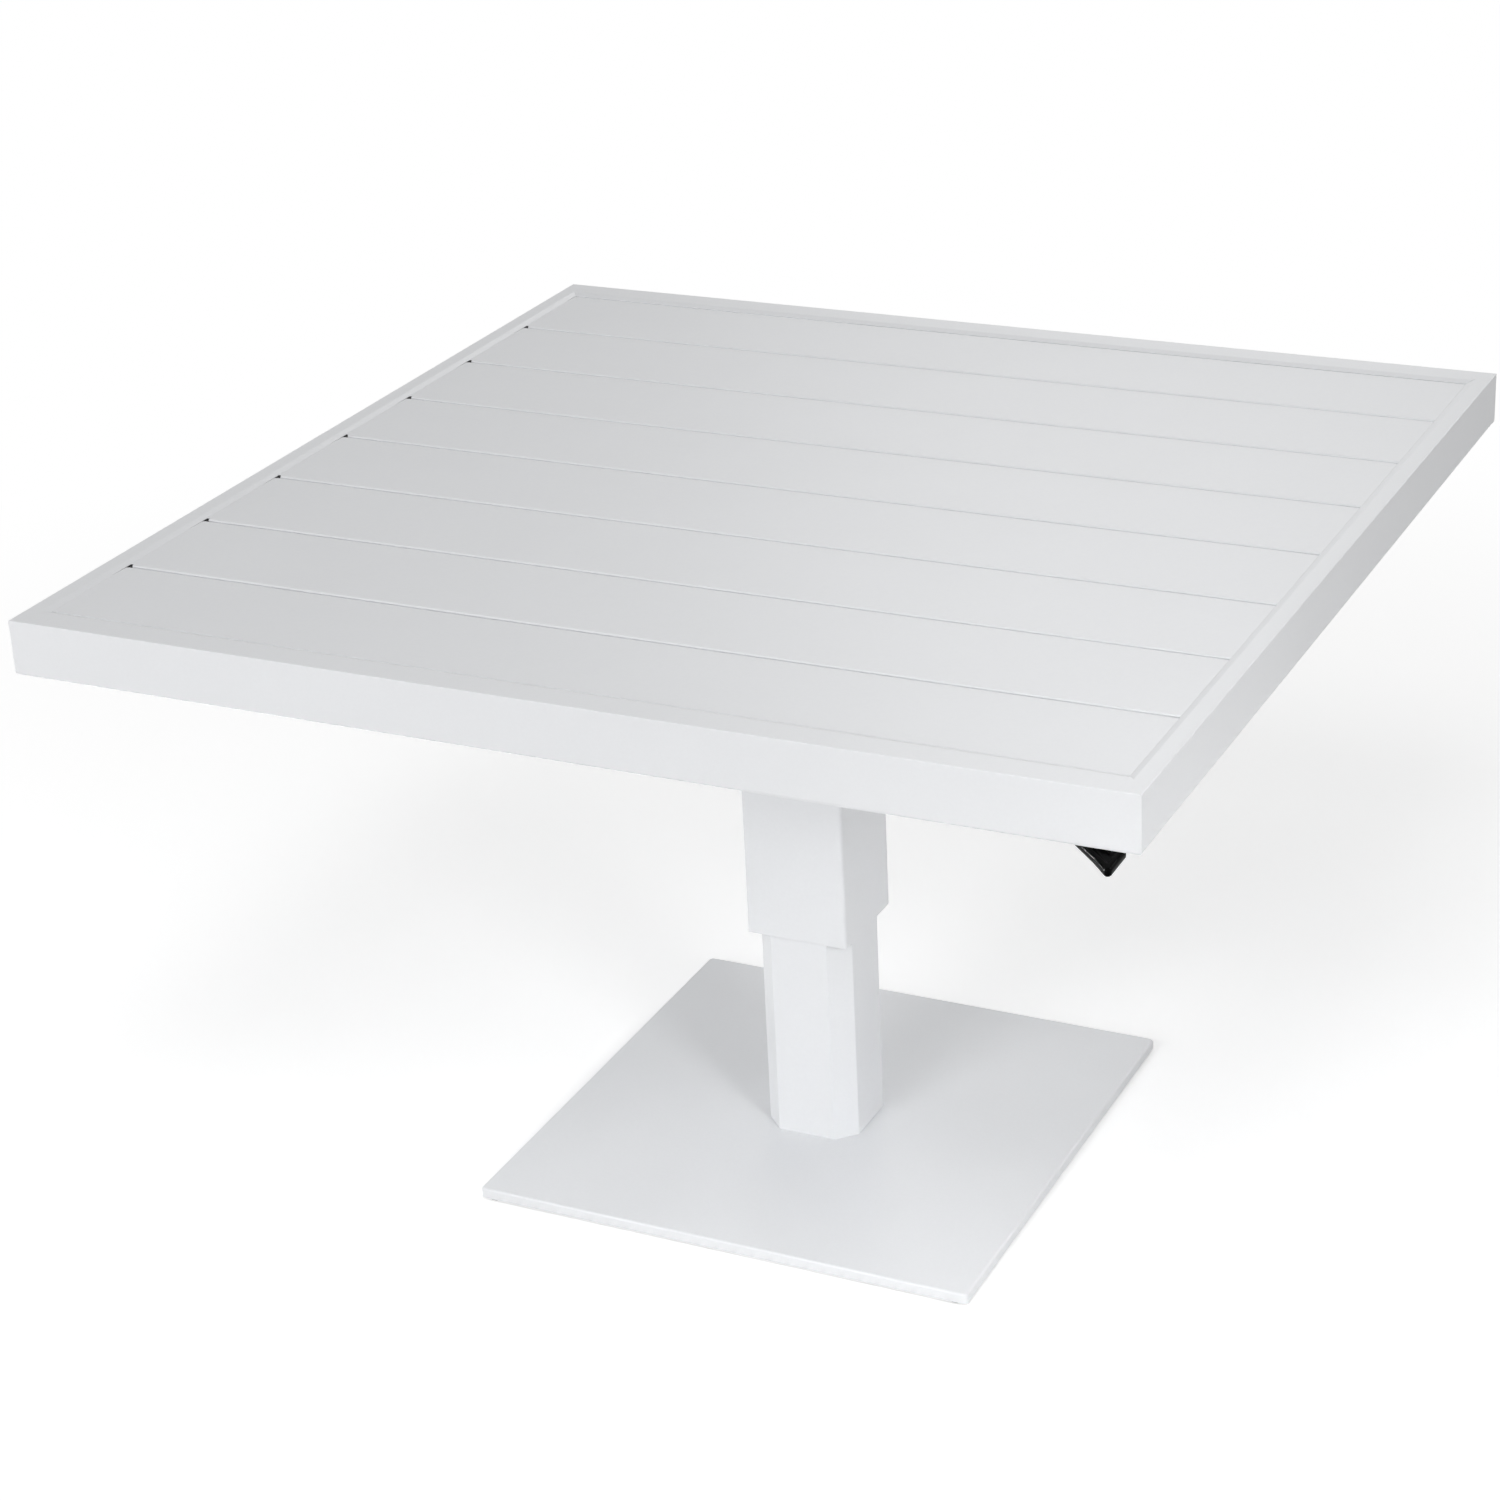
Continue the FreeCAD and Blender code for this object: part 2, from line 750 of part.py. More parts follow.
def make_piston():
    body = new_body("piston")
    ring = new_sketch(body, "ring", "XY_Plane")
    add_ring(ring, "spring_bore - 2 * piston_clearance", "rod_diameter + 2 * spring_fit")
    pad(body, ring, "piston_length")
    put(body, z="piston_height")
    return keep(body)


def make_piston_seal():
    """Lip seal that lies on the piston's upper face."""
    body = new_body("piston_seal")
    ring = new_sketch(body, "ring", "XY_Plane")
    outer = "spring_bore - piston_clearance"
    add_ring(ring, outer, f"{outer} - 2 * seal_width")
    pad(body, ring, "seal_height")
    put(body, z="piston_height + piston_length")
    return keep(body)


def make_valve_pin():
    outer = half("pin_diameter")
    length = "pin_top - pin_bottom"
    body = turned_piece("valve_pin", [("0", "0"), (outer, "0"), (outer, length), ("0", length)])
    put(body, z="pin_bottom")
    return keep(body)


# ---------------------------------------------------------------- release lever


def lever_x(reach):
    return f"({reach}) * cos(lever_heading)"


def lever_y(reach):
    return f"-({reach}) * sin(lever_heading)"


def heading():
    return turned(-value("lever_heading"))


def put_on_lever(body):
    """Lever pieces share a frame: origin on the pivot, +X outwards along the drooping rod."""
    droop = Rotation(Vector(0, 1, 0), value("lever_droop"))
    put(body, lever_x("pivot_reach"), lever_y("pivot_reach"), "pivot_height", heading() * droop)


def make_fulcrum_bracket():
    """Inverted channel welded under the flange; the pivot pin crosses its two cheeks."""
    body = new_body("fulcrum_bracket")
    section = new_sketch(body, "section", "YZ_Plane")
    out = half("fulcrum_width")
    gap = half("fulcrum_gap")
    roof = "-fulcrum_base"
    low = "-fulcrum_depth"
    add_outline(section, [
        (f"-{out}", low), (f"-{gap}", low), (f"-{gap}", roof), (gap, roof),
        (gap, low), (out, low), (out, "0"), (f"-{out}", "0"),
    ])
    pad(body, section, "fulcrum_length", both_ways=True)
    hole = new_sketch(body, "pin_hole", "XZ_Plane")
    add_circle(hole, "0", "-pivot_drop", "pivot_diameter + 2 * pivot_clearance")
    pocket(body, hole, "fulcrum_width", both_ways=True)
    put(body, lever_x("pivot_reach"), lever_y("pivot_reach"), "flange_bottom", heading())
    return keep(body)


def make_pivot_pin():
    """Headed pin; a groove near its tail takes the clip."""
    shank = half("pivot_diameter")
    head = half("pivot_head_diameter")
    groove = f"({shank} - clip_groove)"
    low = "fulcrum_width + pivot_clearance"
    high = f"({low} + clip_thickness + clip_play)"
    tail = f"({high} + pin_tail)"
    body = turned_piece("pivot_pin", [
        ("0", "-pivot_head_height"), (head, "-pivot_head_height"), (head, "0"), (shank, "0"),
        (shank, low), (groove, low), (groove, high), (shank, high), (shank, tail), ("0", tail),
    ])
    put_across_lever(body, "fulcrum_width / 2")
    return keep(body)


def put_across_lever(body, offset):
    """Turn a round piece's own +Z across the lever; it starts offset to the lever's left."""
    x = f"pivot_reach * cos(lever_heading) - ({offset}) * sin(lever_heading)"
    y = f"-pivot_reach * sin(lever_heading) - ({offset}) * cos(lever_heading)"
    put(body, x, y, "pivot_height", heading() * Rotation(Vector(1, 0, 0), -90))


def make_pivot_clip():
    inner = "(pivot_diameter / 2 - clip_groove + spring_fit)"
    outer = half("clip_diameter")
    body = turned_piece("pivot_clip", [
        (inner, "0"), (outer, "0"), (outer, "clip_thickness"), (inner, "clip_thickness"),
    ])
    mouth = new_sketch(body, "mouth", "XY_Plane")
    side = "(pivot_diameter / 2 - clip_groove)"
    add_outline(mouth, rectangle("0", f"-{side}", "clip_diameter", side))
    pocket(body, mouth, "clip_thickness", forward=True)
    put_across_lever(body, "-clip_start")
    return keep(body)


def make_lever_arm():
    """Flat arm that presses the valve pin, with a thicker hub for the pivot and the rod."""
    body = new_body("lever_arm")
    arm = new_sketch(body, "arm", "XZ_Plane")
    thick = half("arm_height")
    add_outline(arm, rectangle("-pivot_reach - arm_overrun", f"-{thick}", "-hub_back", thick))
    pad(body, arm, "arm_width", both_ways=True)
    hub = new_sketch(body, "hub", "XZ_Plane")
    tall = half("hub_height")
    add_outline(hub, rectangle("-hub_back", f"-{tall}", "hub_front", tall))
    pad(body, hub, "hub_width", both_ways=True)
    back = -value("hub_back")
    front = value("hub_front")
    shoulders = edges_where(
        body,
        lambda edge: runs_along(edge, 1)
        and near(abs(edge.CenterOfMass.z), value(tall))
        and (near(edge.CenterOfMass.x, back) or near(edge.CenterOfMass.x, front)),
    )
    dress(body, "Chamfer", shoulders, "hub_edge")
    pivot = new_sketch(body, "pivot_hole", "XZ_Plane")
    add_circle(pivot, "0", "0", "pivot_diameter + 2 * pivot_clearance")
    pocket(body, pivot, "hub_width", both_ways=True)
    seat = new_sketch(body, "rod_seat", "YZ_Plane")
    seat.AttachmentOffset = Placement(Vector(0, 0, value("lever_rod_seat")), Rotation())
    seat.setExpression("AttachmentOffset.Base.z", formula("lever_rod_seat"))
    add_circle(seat, "0", "0", "lever_rod_diameter + 2 * lever_rod_fit")
    pocket(body, seat, "hub_front", forward=True)
    put_on_lever(body)
    return keep(body)


def make_lever_rod():
    body = new_body("lever_rod")
    section = new_sketch(body, "section", "YZ_Plane")
    section.AttachmentOffset = Placement(Vector(0, 0, value("lever_rod_seat")), Rotation())
    section.setExpression("AttachmentOffset.Base.z", formula("lever_rod_seat"))
    add_circle(section, "0", "0", "lever_rod_diameter")
    pad(body, section, "lever_rod_end - lever_rod_seat")
    put_on_lever(body)
    return keep(body)


def make_lever_paddle():
    """Moulded finger paddle: dished top, slanted and flared tip, boss that tapers into a spine."""
    body = new_body("lever_paddle")
    blade = new_sketch(body, "blade", "XY_Plane")
    side = half("paddle_width")
    neck = half("paddle_neck_width")
    add_outline(blade, [
        ("paddle_start", f"-{neck}"), ("paddle_shoulder", f"-{side}"),
        ("paddle_waist", f"paddle_waist_depth - {side}"), ("paddle_tip", f"-{side} - paddle_flare"),
        ("paddle_tip - paddle_slant_run", side), ("paddle_shoulder", side), ("paddle_start", neck),
    ])
    pad(body, blade, "paddle_thickness", both_ways=True)
    tip_corners = edges_where(
        body,
        lambda edge: runs_along(edge, 2)
        and edge.CenterOfMass.x > value("lever_rod_end")
        and abs(edge.CenterOfMass.y) > value(side) - 0.01,
    )
    dress(body, "Fillet", tip_corners, "paddle_corner_radius")
    level = value(half("paddle_thickness"))
    dress(body, "Fillet", rim_at(body, level), "paddle_edge_radius")
    dress(body, "Chamfer", rim_at(body, -level), "paddle_edge_chamfer")
    dish = new_sketch(body, "dish", "XY_Plane")
    dish.setExpression(
        "AttachmentOffset.Base.z", formula("paddle_thickness / 2 - paddle_dish_depth")
    )
    rim = f"({side} - paddle_rim)"
    tip = "paddle_tip - paddle_rim / sin(paddle_slant)"
    far = f"{tip} - (paddle_rim + paddle_flare) / tan(paddle_slant)"
    close = f"{tip} - paddle_slant_run + paddle_rim / tan(paddle_slant)"
    add_outline(dish, [
        ("paddle_shoulder", f"-{rim}"), (far, f"-{rim}"), (close, rim), ("paddle_shoulder", rim),
    ])
    pocket(body, dish, "paddle_dish_depth", forward=True)
    spine = new_sketch(body, "spine", "XZ_Plane")
    add_outline(spine, [
        ("paddle_start", "0"), ("paddle_spine_end", "0"), ("paddle_spine_end", "paddle_spine_tip"),
        ("lever_rod_end + paddle_boss_wall", "boss_radius"), ("paddle_start", "boss_radius"),
    ])
    revolve(body, spine, "H_Axis")
    bore = new_sketch(body, "rod_bore", "YZ_Plane")
    add_circle(bore, "0", "0", "lever_rod_diameter + 2 * lever_rod_fit")
    pocket(body, bore, "lever_rod_end + lever_rod_fit", forward=True)
    put_on_lever(body)
    return keep(body)


def rim_at(body, height):
    """Edges that stay at one height, round the top or the bottom face."""
    return edges_where(
        body, lambda edge: near(edge.BoundBox.ZMin, height) and near(edge.BoundBox.ZMax, height)
    )


# ---------------------------------------------------------------- table top


def add_mitred_ends(body, span, width, other_width, reach):
    """Cut both ends along the line from the frame's outer corner to its inner corner.

    span is the rail's outer length, width its own width, other_width that of the rail it meets,
    and reach how far in the cut goes, ledge included.
    """
    along_x = body.Name in ("front_rail", "rear_rail")
    slope = f"(({other_width}) / ({width}))"
    plan = new_sketch(body, "mitres", "XY_Plane")
    for sign in "+-":
        outer = f"{sign}(({span}) / 2 + rail_wall * {slope})"
        inner = f"{sign}(({span}) / 2 - ({reach}) * {slope})"
        beyond = f"{sign}(({span}) / 2 + rail_wall + ({other_width}))"
        corners = [(outer, "-rail_wall"), (beyond, "-rail_wall"), (beyond, reach), (inner, reach)]
        if not along_x:
            corners = [(across, along) for along, across in corners]
        add_outline(plan, corners)
    pocket(body, plan, "rail_height", forward=True)


def rail(name, role, width, span, ledge, turn, x, y):
    """Hollow rail: crisp outer face, a lip that slopes to the slats' level, a ledge on side rails."""
    body = new_body(name)
    section = new_sketch(body, "section", role)
    outline = [("0", "0"), (width, "0")]
    if ledge:
        shelf = f"{width} + ledge_width"
        below = "ledge_top - ledge_thickness"
        outline += [(width, below), (shelf, below), (shelf, "ledge_top"), (width, "ledge_top")]
    lip_start = f"{width} - rail_lip_width"
    outline += [
        (width, "rail_height - slat_drop"), (lip_start, "rail_height"), ("0", "rail_height")
    ]
    add_outline(section, outline)
    ceiling = "rail_height - rail_wall"
    add_outline(section, [
        ("rail_wall", "rail_wall"), (f"{width} - rail_wall", "rail_wall"),
        (f"{width} - rail_wall", f"{ceiling} - slat_drop"), (lip_start, ceiling),
        ("rail_wall", ceiling),
    ])
    pad(body, section, span, both_ways=True)
    length_axis = 0 if role == "YZ_Plane" else 1
    cross_axis = 1 - length_axis
    height = value("rail_height")
    for across, up, radius in (
        ("0", 0, "rail_foot_radius"),
        ("0", height, "rail_edge_radius"),
        (lip_start, height, "rail_lip_radius"),
    ):
        picked = edges_where(
            body,
            lambda edge: runs_along(edge, length_axis)
            and near(edge.CenterOfMass[cross_axis], value(across))
            and near(edge.CenterOfMass.z, up),
        )
        dress(body, "Fillet", picked, radius)
    other = "side_rail_width" if role == "YZ_Plane" else "end_rail_width"
    reach = f"{width} + ledge_width" if ledge else f"{width} + rail_wall"
    add_mitred_ends(body, span, width, other, f"({reach})")
    put(body, x, y, "rail_bottom", turned(turn))
    return keep(body)


def make_rails():
    depth = half("top_depth")
    length = half("top_length")
    rail("front_rail", "YZ_Plane", "end_rail_width", "top_length", False, 0, "0", f"-{depth}")
    rail("rear_rail", "YZ_Plane", "end_rail_width", "top_length", False, 180, "0", depth)
    rail("left_rail", "XZ_Plane", "side_rail_width", "top_depth", True, 0, f"-{length}", "0")
    rail("right_rail", "XZ_Plane", "side_rail_width", "top_depth", True, 180, length, "0")


def make_corner_cleats():
    """Angles inside the mitred corners, against the outer walls of both rails."""
    cleat = new_body("one_corner_cleat")
    plan = new_sketch(cleat, "plan", "XY_Plane")
    add_outline(plan, [
        ("0", "0"), ("cleat_length", "0"), ("cleat_length", "cleat_thickness"),
        ("cleat_thickness", "cleat_thickness"), ("cleat_thickness", "cleat_length"),
        ("0", "cleat_length"),
    ])
    pad(cleat, plan, "rail_height - 2 * rail_wall - 2 * cleat_clearance")
    foot = edges_where(
        cleat,
        lambda edge: near(edge.BoundBox.ZMax, 0)
        and (near(edge.BoundBox.XMax, 0) or near(edge.BoundBox.YMax, 0)),
    )
    dress(cleat, "Chamfer", foot, "rail_wall")
    inset = "(rail_wall + cleat_clearance)"
    x = f"(top_length / 2 - {inset})"
    y = f"(top_depth / 2 - {inset})"
    z = f"rail_bottom + {inset}"
    places = [
        (f"-{x}", f"-{y}", z, 0), (x, f"-{y}", z, 90), (x, y, z, 180), (f"-{x}", y, z, 270)
    ]
    return group("corner_cleats", cleat, places)


def slat_span(index, count):
    """Front and rear edge of a slat; the two outer slats take what the rails leave."""
    before = f"(first_groove + {index - 1} * slat_pitch)"
    front = f"({before} + slat_gap / 2)" if index else "(-inner_depth / 2 + slat_end_gap)"
    after = f"(first_groove + {index} * slat_pitch)"
    rear = f"({after} - slat_gap / 2)" if index < count - 1 else "(inner_depth / 2 - rear_slat_gap)"
    return front, rear


def add_tongue(body, width):
    """Strip along the rear edge that closes the joint below, short of both ends."""
    tongue = new_sketch(body, "tongue", "YZ_Plane")
    top = "slat_height - tongue_depth"
    reach = f"{width} + slat_gap - tongue_clearance"
    add_outline(tongue, rectangle(width, f"{top} - tongue_thickness", reach, top))
    pad(body, tongue, "slat_length - 2 * tongue_setback", both_ways=True)


def make_slats():
    """Hollow ribbed planks along X; each joint has a tongue below and a drain hole at its left end."""
    count = int(value("slat_count"))
    for index in range(count):
        front, rear = slat_span(index, count)
        width = f"({rear} - {front})"
        body = new_body(f"slat_{index + 1}")
        section = new_sketch(body, "section", "YZ_Plane")
        add_outline(section, rectangle("0", "0", width, "slat_height"))
        cell = f"(({width} - (slat_cells + 1) * slat_wall) / slat_cells)"
        for chamber in range(int(value("slat_cells"))):
            start = f"slat_wall + {chamber} * ({cell} + slat_wall)"
            add_outline(section, rectangle(
                start, "slat_wall", f"{start} + {cell}", "slat_height - slat_wall"
            ))
        pad(body, section, "slat_length", both_ways=True)
        height = value("slat_height")
        edges = edges_where(
            body, lambda edge: runs_along(edge, 0) and near(edge.CenterOfMass.z, height)
        )
        dress(body, "Fillet", edges, "slat_edge_radius")
        notches = new_sketch(body, "drain_notches", "XY_Plane")
        end = "-slat_length / 2"
        inner = f"{end} + drain_notch"
        if index > 0:
            add_outline(notches, rectangle(end, "0", inner, "drain_notch"))
        if index < count - 1:
            add_outline(notches, rectangle(end, f"{width} - drain_notch", inner, width))
            add_tongue(body, width)
        pocket(body, notches, "slat_height", forward=True)
        holes = new_sketch(body, "screw_holes", "XY_Plane")
        for side in "+-":
            add_facets(
                holes, f"{side}joist_spacing / 2", f"{width} / 2",
                "slat_screw_diameter + 2 * hole_clearance",
            )
        pocket(body, holes, "slat_wall", forward=True)
        put(body, y=front, z="slat_bottom")
        keep(body)


def slat_middle(index, count):
    front, rear = slat_span(index, count)
    return f"(({front} + {rear}) / 2)"


def make_slat_screws():
    screw = cap_screw(
        "one_slat_screw", "slat_screw_head_diameter", "slat_screw_head_height",
        "slat_screw_diameter", "slat_screw_length",
    )
    count = int(value("slat_count"))
    places = [
        (f"{side}joist_spacing / 2", slat_middle(index, count), "slat_bottom - joist_wall")
        for index in range(count)
        for side in "+-"
    ]
    return group("slat_screws", screw, places)


def make_cross_beam(name, side):
    """Rectangular tube from the front rail to the rear rail, bolted down on the flange."""
    body = new_body(name)
    section = new_sketch(body, "section", "XZ_Plane")
    reach = half("beam_width")
    add_outline(section, rectangle(f"-{reach}", "0", reach, "beam_height"))
    add_outline(section, rectangle(
        f"-{reach} + beam_wall", "beam_wall", f"{reach} - beam_wall", "beam_height - beam_wall"
    ))
    pad(body, section, "inner_depth", both_ways=True)
    holes = new_sketch(body, "nut_holes", "XY_Plane")
    for row in ("flange_bolt_inner_row", "flange_bolt_outer_row"):
        for sign in "+-":
            add_facets(holes, "0", f"{sign}{row}", "rivet_nut_diameter + 2 * hole_clearance")
    pocket(body, holes, "beam_wall", forward=True)
    put(body, x=f"{side}beam_spacing / 2", z="beam_bottom")
    return keep(body)


def make_joist(name, side):
    """Channel, open downwards, that the slats are screwed to."""
    body = new_body(name)
    section = new_sketch(body, "section", "XZ_Plane")
    out = half("joist_width")
    inner = f"({out} - joist_wall)"
    roof = "beam_height - joist_wall"
    add_outline(section, [
        (f"-{out}", "0"), (f"-{inner}", "0"), (f"-{inner}", roof), (inner, roof),
        (inner, "0"), (out, "0"), (out, "beam_height"), (f"-{out}", "beam_height"),
    ])
    pad(body, section, "inner_depth", both_ways=True)
    holes = new_sketch(body, "screw_holes", "XY_Plane")
    count = int(value("slat_count"))
    for index in range(count):
        add_facets(holes, "0", slat_middle(index, count), "slat_screw_diameter + 2 * hole_clearance")
    pocket(body, holes, "beam_height", forward=True)
    put(body, x=f"{side}joist_spacing / 2", z="beam_bottom")
    return keep(body)


def check_document():
    for item in doc.Objects:
        if "Invalid" in item.State or "Error" in item.State:
            raise RuntimeError(f"{item.Name} failed: {item.State}")
    for item in subparts:
        if item.Shape.isNull() or not item.Shape.isValid():
            raise RuntimeError(f"{item.Label} has no valid shape")


make_base_plate()
make_base_glides()
make_base_bolts()
make_column_foot()
make_lower_column()
make_column_top_guide()
make_gas_spring_cylinder()
make_gas_spring_gland()
make_sleeve()
make_sleeve_bottom_guide()
make_mounting_flange()
make_flange_bolts()
make_beam_rivet_nuts()
make_spring_bracket()
make_bracket_screws()
make_rod_nuts()
make_piston_rod()
make_piston()
make_piston_seal()
make_valve_pin()
make_fulcrum_bracket()
make_pivot_pin()
make_pivot_clip()
make_lever_arm()
make_lever_rod()
make_lever_paddle()
make_rails()
make_corner_cleats()
make_slats()
make_slat_screws()
make_cross_beam("cross_beam_left", "-")
make_cross_beam("cross_beam_right", "+")
make_joist("joist_left", "-")
make_joist("joist_right", "+")

doc.recompute()
check_document()
os.makedirs("parts", exist_ok=True)
for item in subparts:
    item.Shape.exportStep(f"parts/{item.Label}.step")
print(len(subparts), "sub-parts written")
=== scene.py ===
import json
import math

import bmesh
import bpy
from mathutils import Matrix, Vector


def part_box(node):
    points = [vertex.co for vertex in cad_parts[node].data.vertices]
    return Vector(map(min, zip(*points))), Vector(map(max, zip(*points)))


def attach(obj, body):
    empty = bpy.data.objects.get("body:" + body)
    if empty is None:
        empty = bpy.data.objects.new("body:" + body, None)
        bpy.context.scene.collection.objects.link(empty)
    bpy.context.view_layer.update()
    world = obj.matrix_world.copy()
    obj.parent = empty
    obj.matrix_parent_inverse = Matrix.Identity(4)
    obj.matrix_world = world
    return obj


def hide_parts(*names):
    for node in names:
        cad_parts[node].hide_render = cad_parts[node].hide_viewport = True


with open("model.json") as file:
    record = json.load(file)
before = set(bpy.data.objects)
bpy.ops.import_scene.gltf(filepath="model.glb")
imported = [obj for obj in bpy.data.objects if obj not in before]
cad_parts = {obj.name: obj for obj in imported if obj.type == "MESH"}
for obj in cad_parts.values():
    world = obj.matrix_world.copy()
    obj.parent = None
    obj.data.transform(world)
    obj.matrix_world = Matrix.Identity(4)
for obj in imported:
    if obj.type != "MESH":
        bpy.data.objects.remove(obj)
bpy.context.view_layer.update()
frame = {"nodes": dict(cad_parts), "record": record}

# Looks of the square slatted table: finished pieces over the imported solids, powder coat,
# bare metal and moulded plastic, and a white studio.  Metres, in the part's own frame.

MM = 0.001

# Frame of the table top.  The lip's round is tighter than the solids'.
TOP_HALF = 500 * MM
TABLE_HEIGHT = 655 * MM
RAIL_HEIGHT = 50 * MM
SIDE_RAIL_WIDTH = 20.5 * MM
END_RAIL_WIDTH = 32 * MM
RAIL_FOOT_RADIUS = 4 * MM
RAIL_EDGE_RADIUS = 1 * MM
RAIL_LIP_WIDTH = 6 * MM
RAIL_LIP_RADIUS = 5 * MM
LEDGE_WIDTH = 14 * MM
LEDGE_THICKNESS = 2 * MM

# Slats.  Their edges and the two outer joints follow the lines that the photograph shows.
SLAT_COUNT = 8
SLAT_HEIGHT = 18 * MM
SLAT_DROP = 2 * MM
SLAT_WALL = 1.2 * MM
SLAT_CELLS = 3
SLAT_FRONT_RADIUS = 1.8 * MM
SLAT_REAR_RADIUS = 3 * MM
SLAT_EASE = 1.2 * MM
SLAT_EASE_RUN = 28 * MM
FRONT_JOINT_OPENING = 1.2 * MM
REAR_JOINT_CLOSING = 0.9 * MM
REAR_JOINT_OPENING = 0.5 * MM
REAR_JOINT_START = -155 * MM
TONGUE_REACH = 2.2 * MM
TONGUE_DEPTH = 5 * MM
TONGUE_THICKNESS = 1.8 * MM
TONGUE_SETBACK = 6 * MM
DRAIN_NOTCH = 3 * MM
# The black cup set in each drain notch is painted shade: it darkens the hole, which is open to
# the shaded space under the top.
DRAIN_SHADE_CUP_DROP = 0.4 * MM
DRAIN_SHADE_CUP_HEIGHT = 4 * MM
DRAIN_SHADE_CUP_WALL = 0.8 * MM
DRAIN_SHADE_CUP_SEAT = 0.1 * MM
DRAIN_CORNER_SEGMENTS = 3

# Mesh work.
FINE_EDGE = 0.4 * MM
CORNER_SEGMENTS = 6
EDGE_SEGMENTS = 2
SMOOTH_ANGLE = math.radians(35)
FLAT_ANGLE = math.radians(0.6)
LARGEST_FACE_WEIGHT = 100
MERGE_DISTANCE = 2e-6
FOLD_TOLERANCE = 0.1 * MM
CUT_MARGIN = 1 * MM
PADDLE_VOXEL = 0.7 * MM
PADDLE_BLEND = 0.5
PADDLE_BLEND_STEPS = 5

# Rounding of the other pieces' edges, in millimetres.
SOFTENED = {
    "sleeve": 0.5, "lower_column": 0.6, "base_plate": 0.5, "mounting_flange": 0.5,
    "cross_beam_left": 0.6, "cross_beam_right": 0.6, "joist_left": 0.4, "joist_right": 0.4,
    "flange_bolts": 0.5, "base_bolts": 0.5, "bracket_screws": 0.4, "slat_screws": 0.4,
    "rod_nuts": 0.5, "fulcrum_bracket": 0.5, "lever_arm": 0.6, "base_glides": 0.4,
}

# Materials.  Waves are counted per metre, depths are in metres.
NOISE_LOW = 0.3
NOISE_HIGH = 0.7
WHITE = (0.80, 0.81, 0.827)
COAT_LIGHT = 1.006
COAT_SHADE = 0.978
COAT_FILM_WAVES = 9
COAT_GRAIN_WAVES = 330
COAT_PEEL_WAVES = 420
COAT_FINE_WAVES = 900
COAT_ROUGHNESS = (0.38, 0.46)
COAT_PEEL_DEPTH = 0.00003
COAT_FINE_DEPTH = 0.000012
COAT_BUMP = 0.8
METAL_CLOUD_WAVES = 60
METAL_CLOUD_SHADE = 0.82
METAL_GRAIN_WAVES = 700
METAL_GRAIN_DEPTH = 0.000008
METAL_SMOOTHER = 0.06
METAL_ROUGHER = 0.08
MOULD_MOTTLE_WAVES = 45
MOULD_MOTTLE_LIGHT = 1.5
MOULD_GRAIN_WAVES = 1500
MOULD_COAT_ROUGHNESS = 0.06
PLASTIC_INDEX = 1.45
GRAIN_BUMP = 0.6

# Studio.
FLOOR_HALF = 14
FLOOR_CELLS = 8
FLOOR_DROP = 0.4 * MM
FLOOR_COLOUR = (0.8, 0.8, 0.8, 1)
FLOOR_GLOW = 0.42
FADE_START = 0.7
FADE_END = 2.2
BACKDROP_COLOUR = (1, 1, 1, 1)
EVEN_LIGHT = 0.24
WIDE_OPEN = 180

# Lamps: name, place, point that it faces, width, height, watts and spread in degrees.
SOFTBOXES = (
    ("front_box", (-0.82, -4.63, 2.16), (0, 0, 0.45), 2.0, 2.0, 92, WIDE_OPEN),
    ("high_box", (0.88, -2.43, 3.76), (0, 0, 0.45), 1.2, 1.0, 33, WIDE_OPEN),
    ("left_box", (-2.6, -0.6, 0.5), (0, 0, 0.3), 0.8, 0.6, 16.5, WIDE_OPEN),
    ("rear_left_box", (-1.14, 4.26, 3.0), (0, 0, 0.65), 1.8, 1.4, 22, WIDE_OPEN),
    ("rear_right_box", (1.67, 4.6, 1.69), (0, 0, 0.65), 1.6, 1.2, 40, WIDE_OPEN),
    ("top_box", (0.45, 0.1, 2.2), (0.45, 0.1, 0.5), 0.8, 0.8, 3.7, WIDE_OPEN),
    ("right_box", (1.7, -0.42, 0.55), (0.5, -0.35, 0.6), 0.5, 0.5, 3.2, WIDE_OPEN),
    ("base_box", (1.7, -1.3, 1.2), (0.1, -0.12, 0), 0.5, 0.4, 0.57, 30),
    ("paddle_strip", (-1.2, -0.42, 0.5), (0.52, -0.5, 0.6), 0.12, 0.04, 1.2, 12),
)

# Camera, as solved on the photograph: lengths in pixels, angles in degrees.
PHOTO_WIDTH = 1500
FOCAL_LENGTH = 3448.3
CAMERA_PLACE = (1.2552, -2.6201, 1.7197)
CAMERA_TURN_TILT_ROLL = (-26.728, 24.413, -2.885)
SENSOR_WIDTH = 36
FARTHEST_VIEW = 100

BODY_OF = {
    node: body for body, nodes in frame["record"]["behaviour"]["bodies"].items() for node in nodes
}
SLOT_OF = {part["node"]: part["material_slot"] for part in frame["record"]["subparts"]}


# ---------------------------------------------------------------- materials


def node_material(name):
    """New material with its node tree cleared down to a Principled shader and an output."""
    material = bpy.data.materials.new(name)
    material.use_nodes = True
    nodes = material.node_tree.nodes
    nodes.clear()
    shader = nodes.new("ShaderNodeBsdfPrincipled")
    output = nodes.new("ShaderNodeOutputMaterial")
    material.node_tree.links.new(shader.outputs["BSDF"], output.inputs["Surface"])
    return material, shader


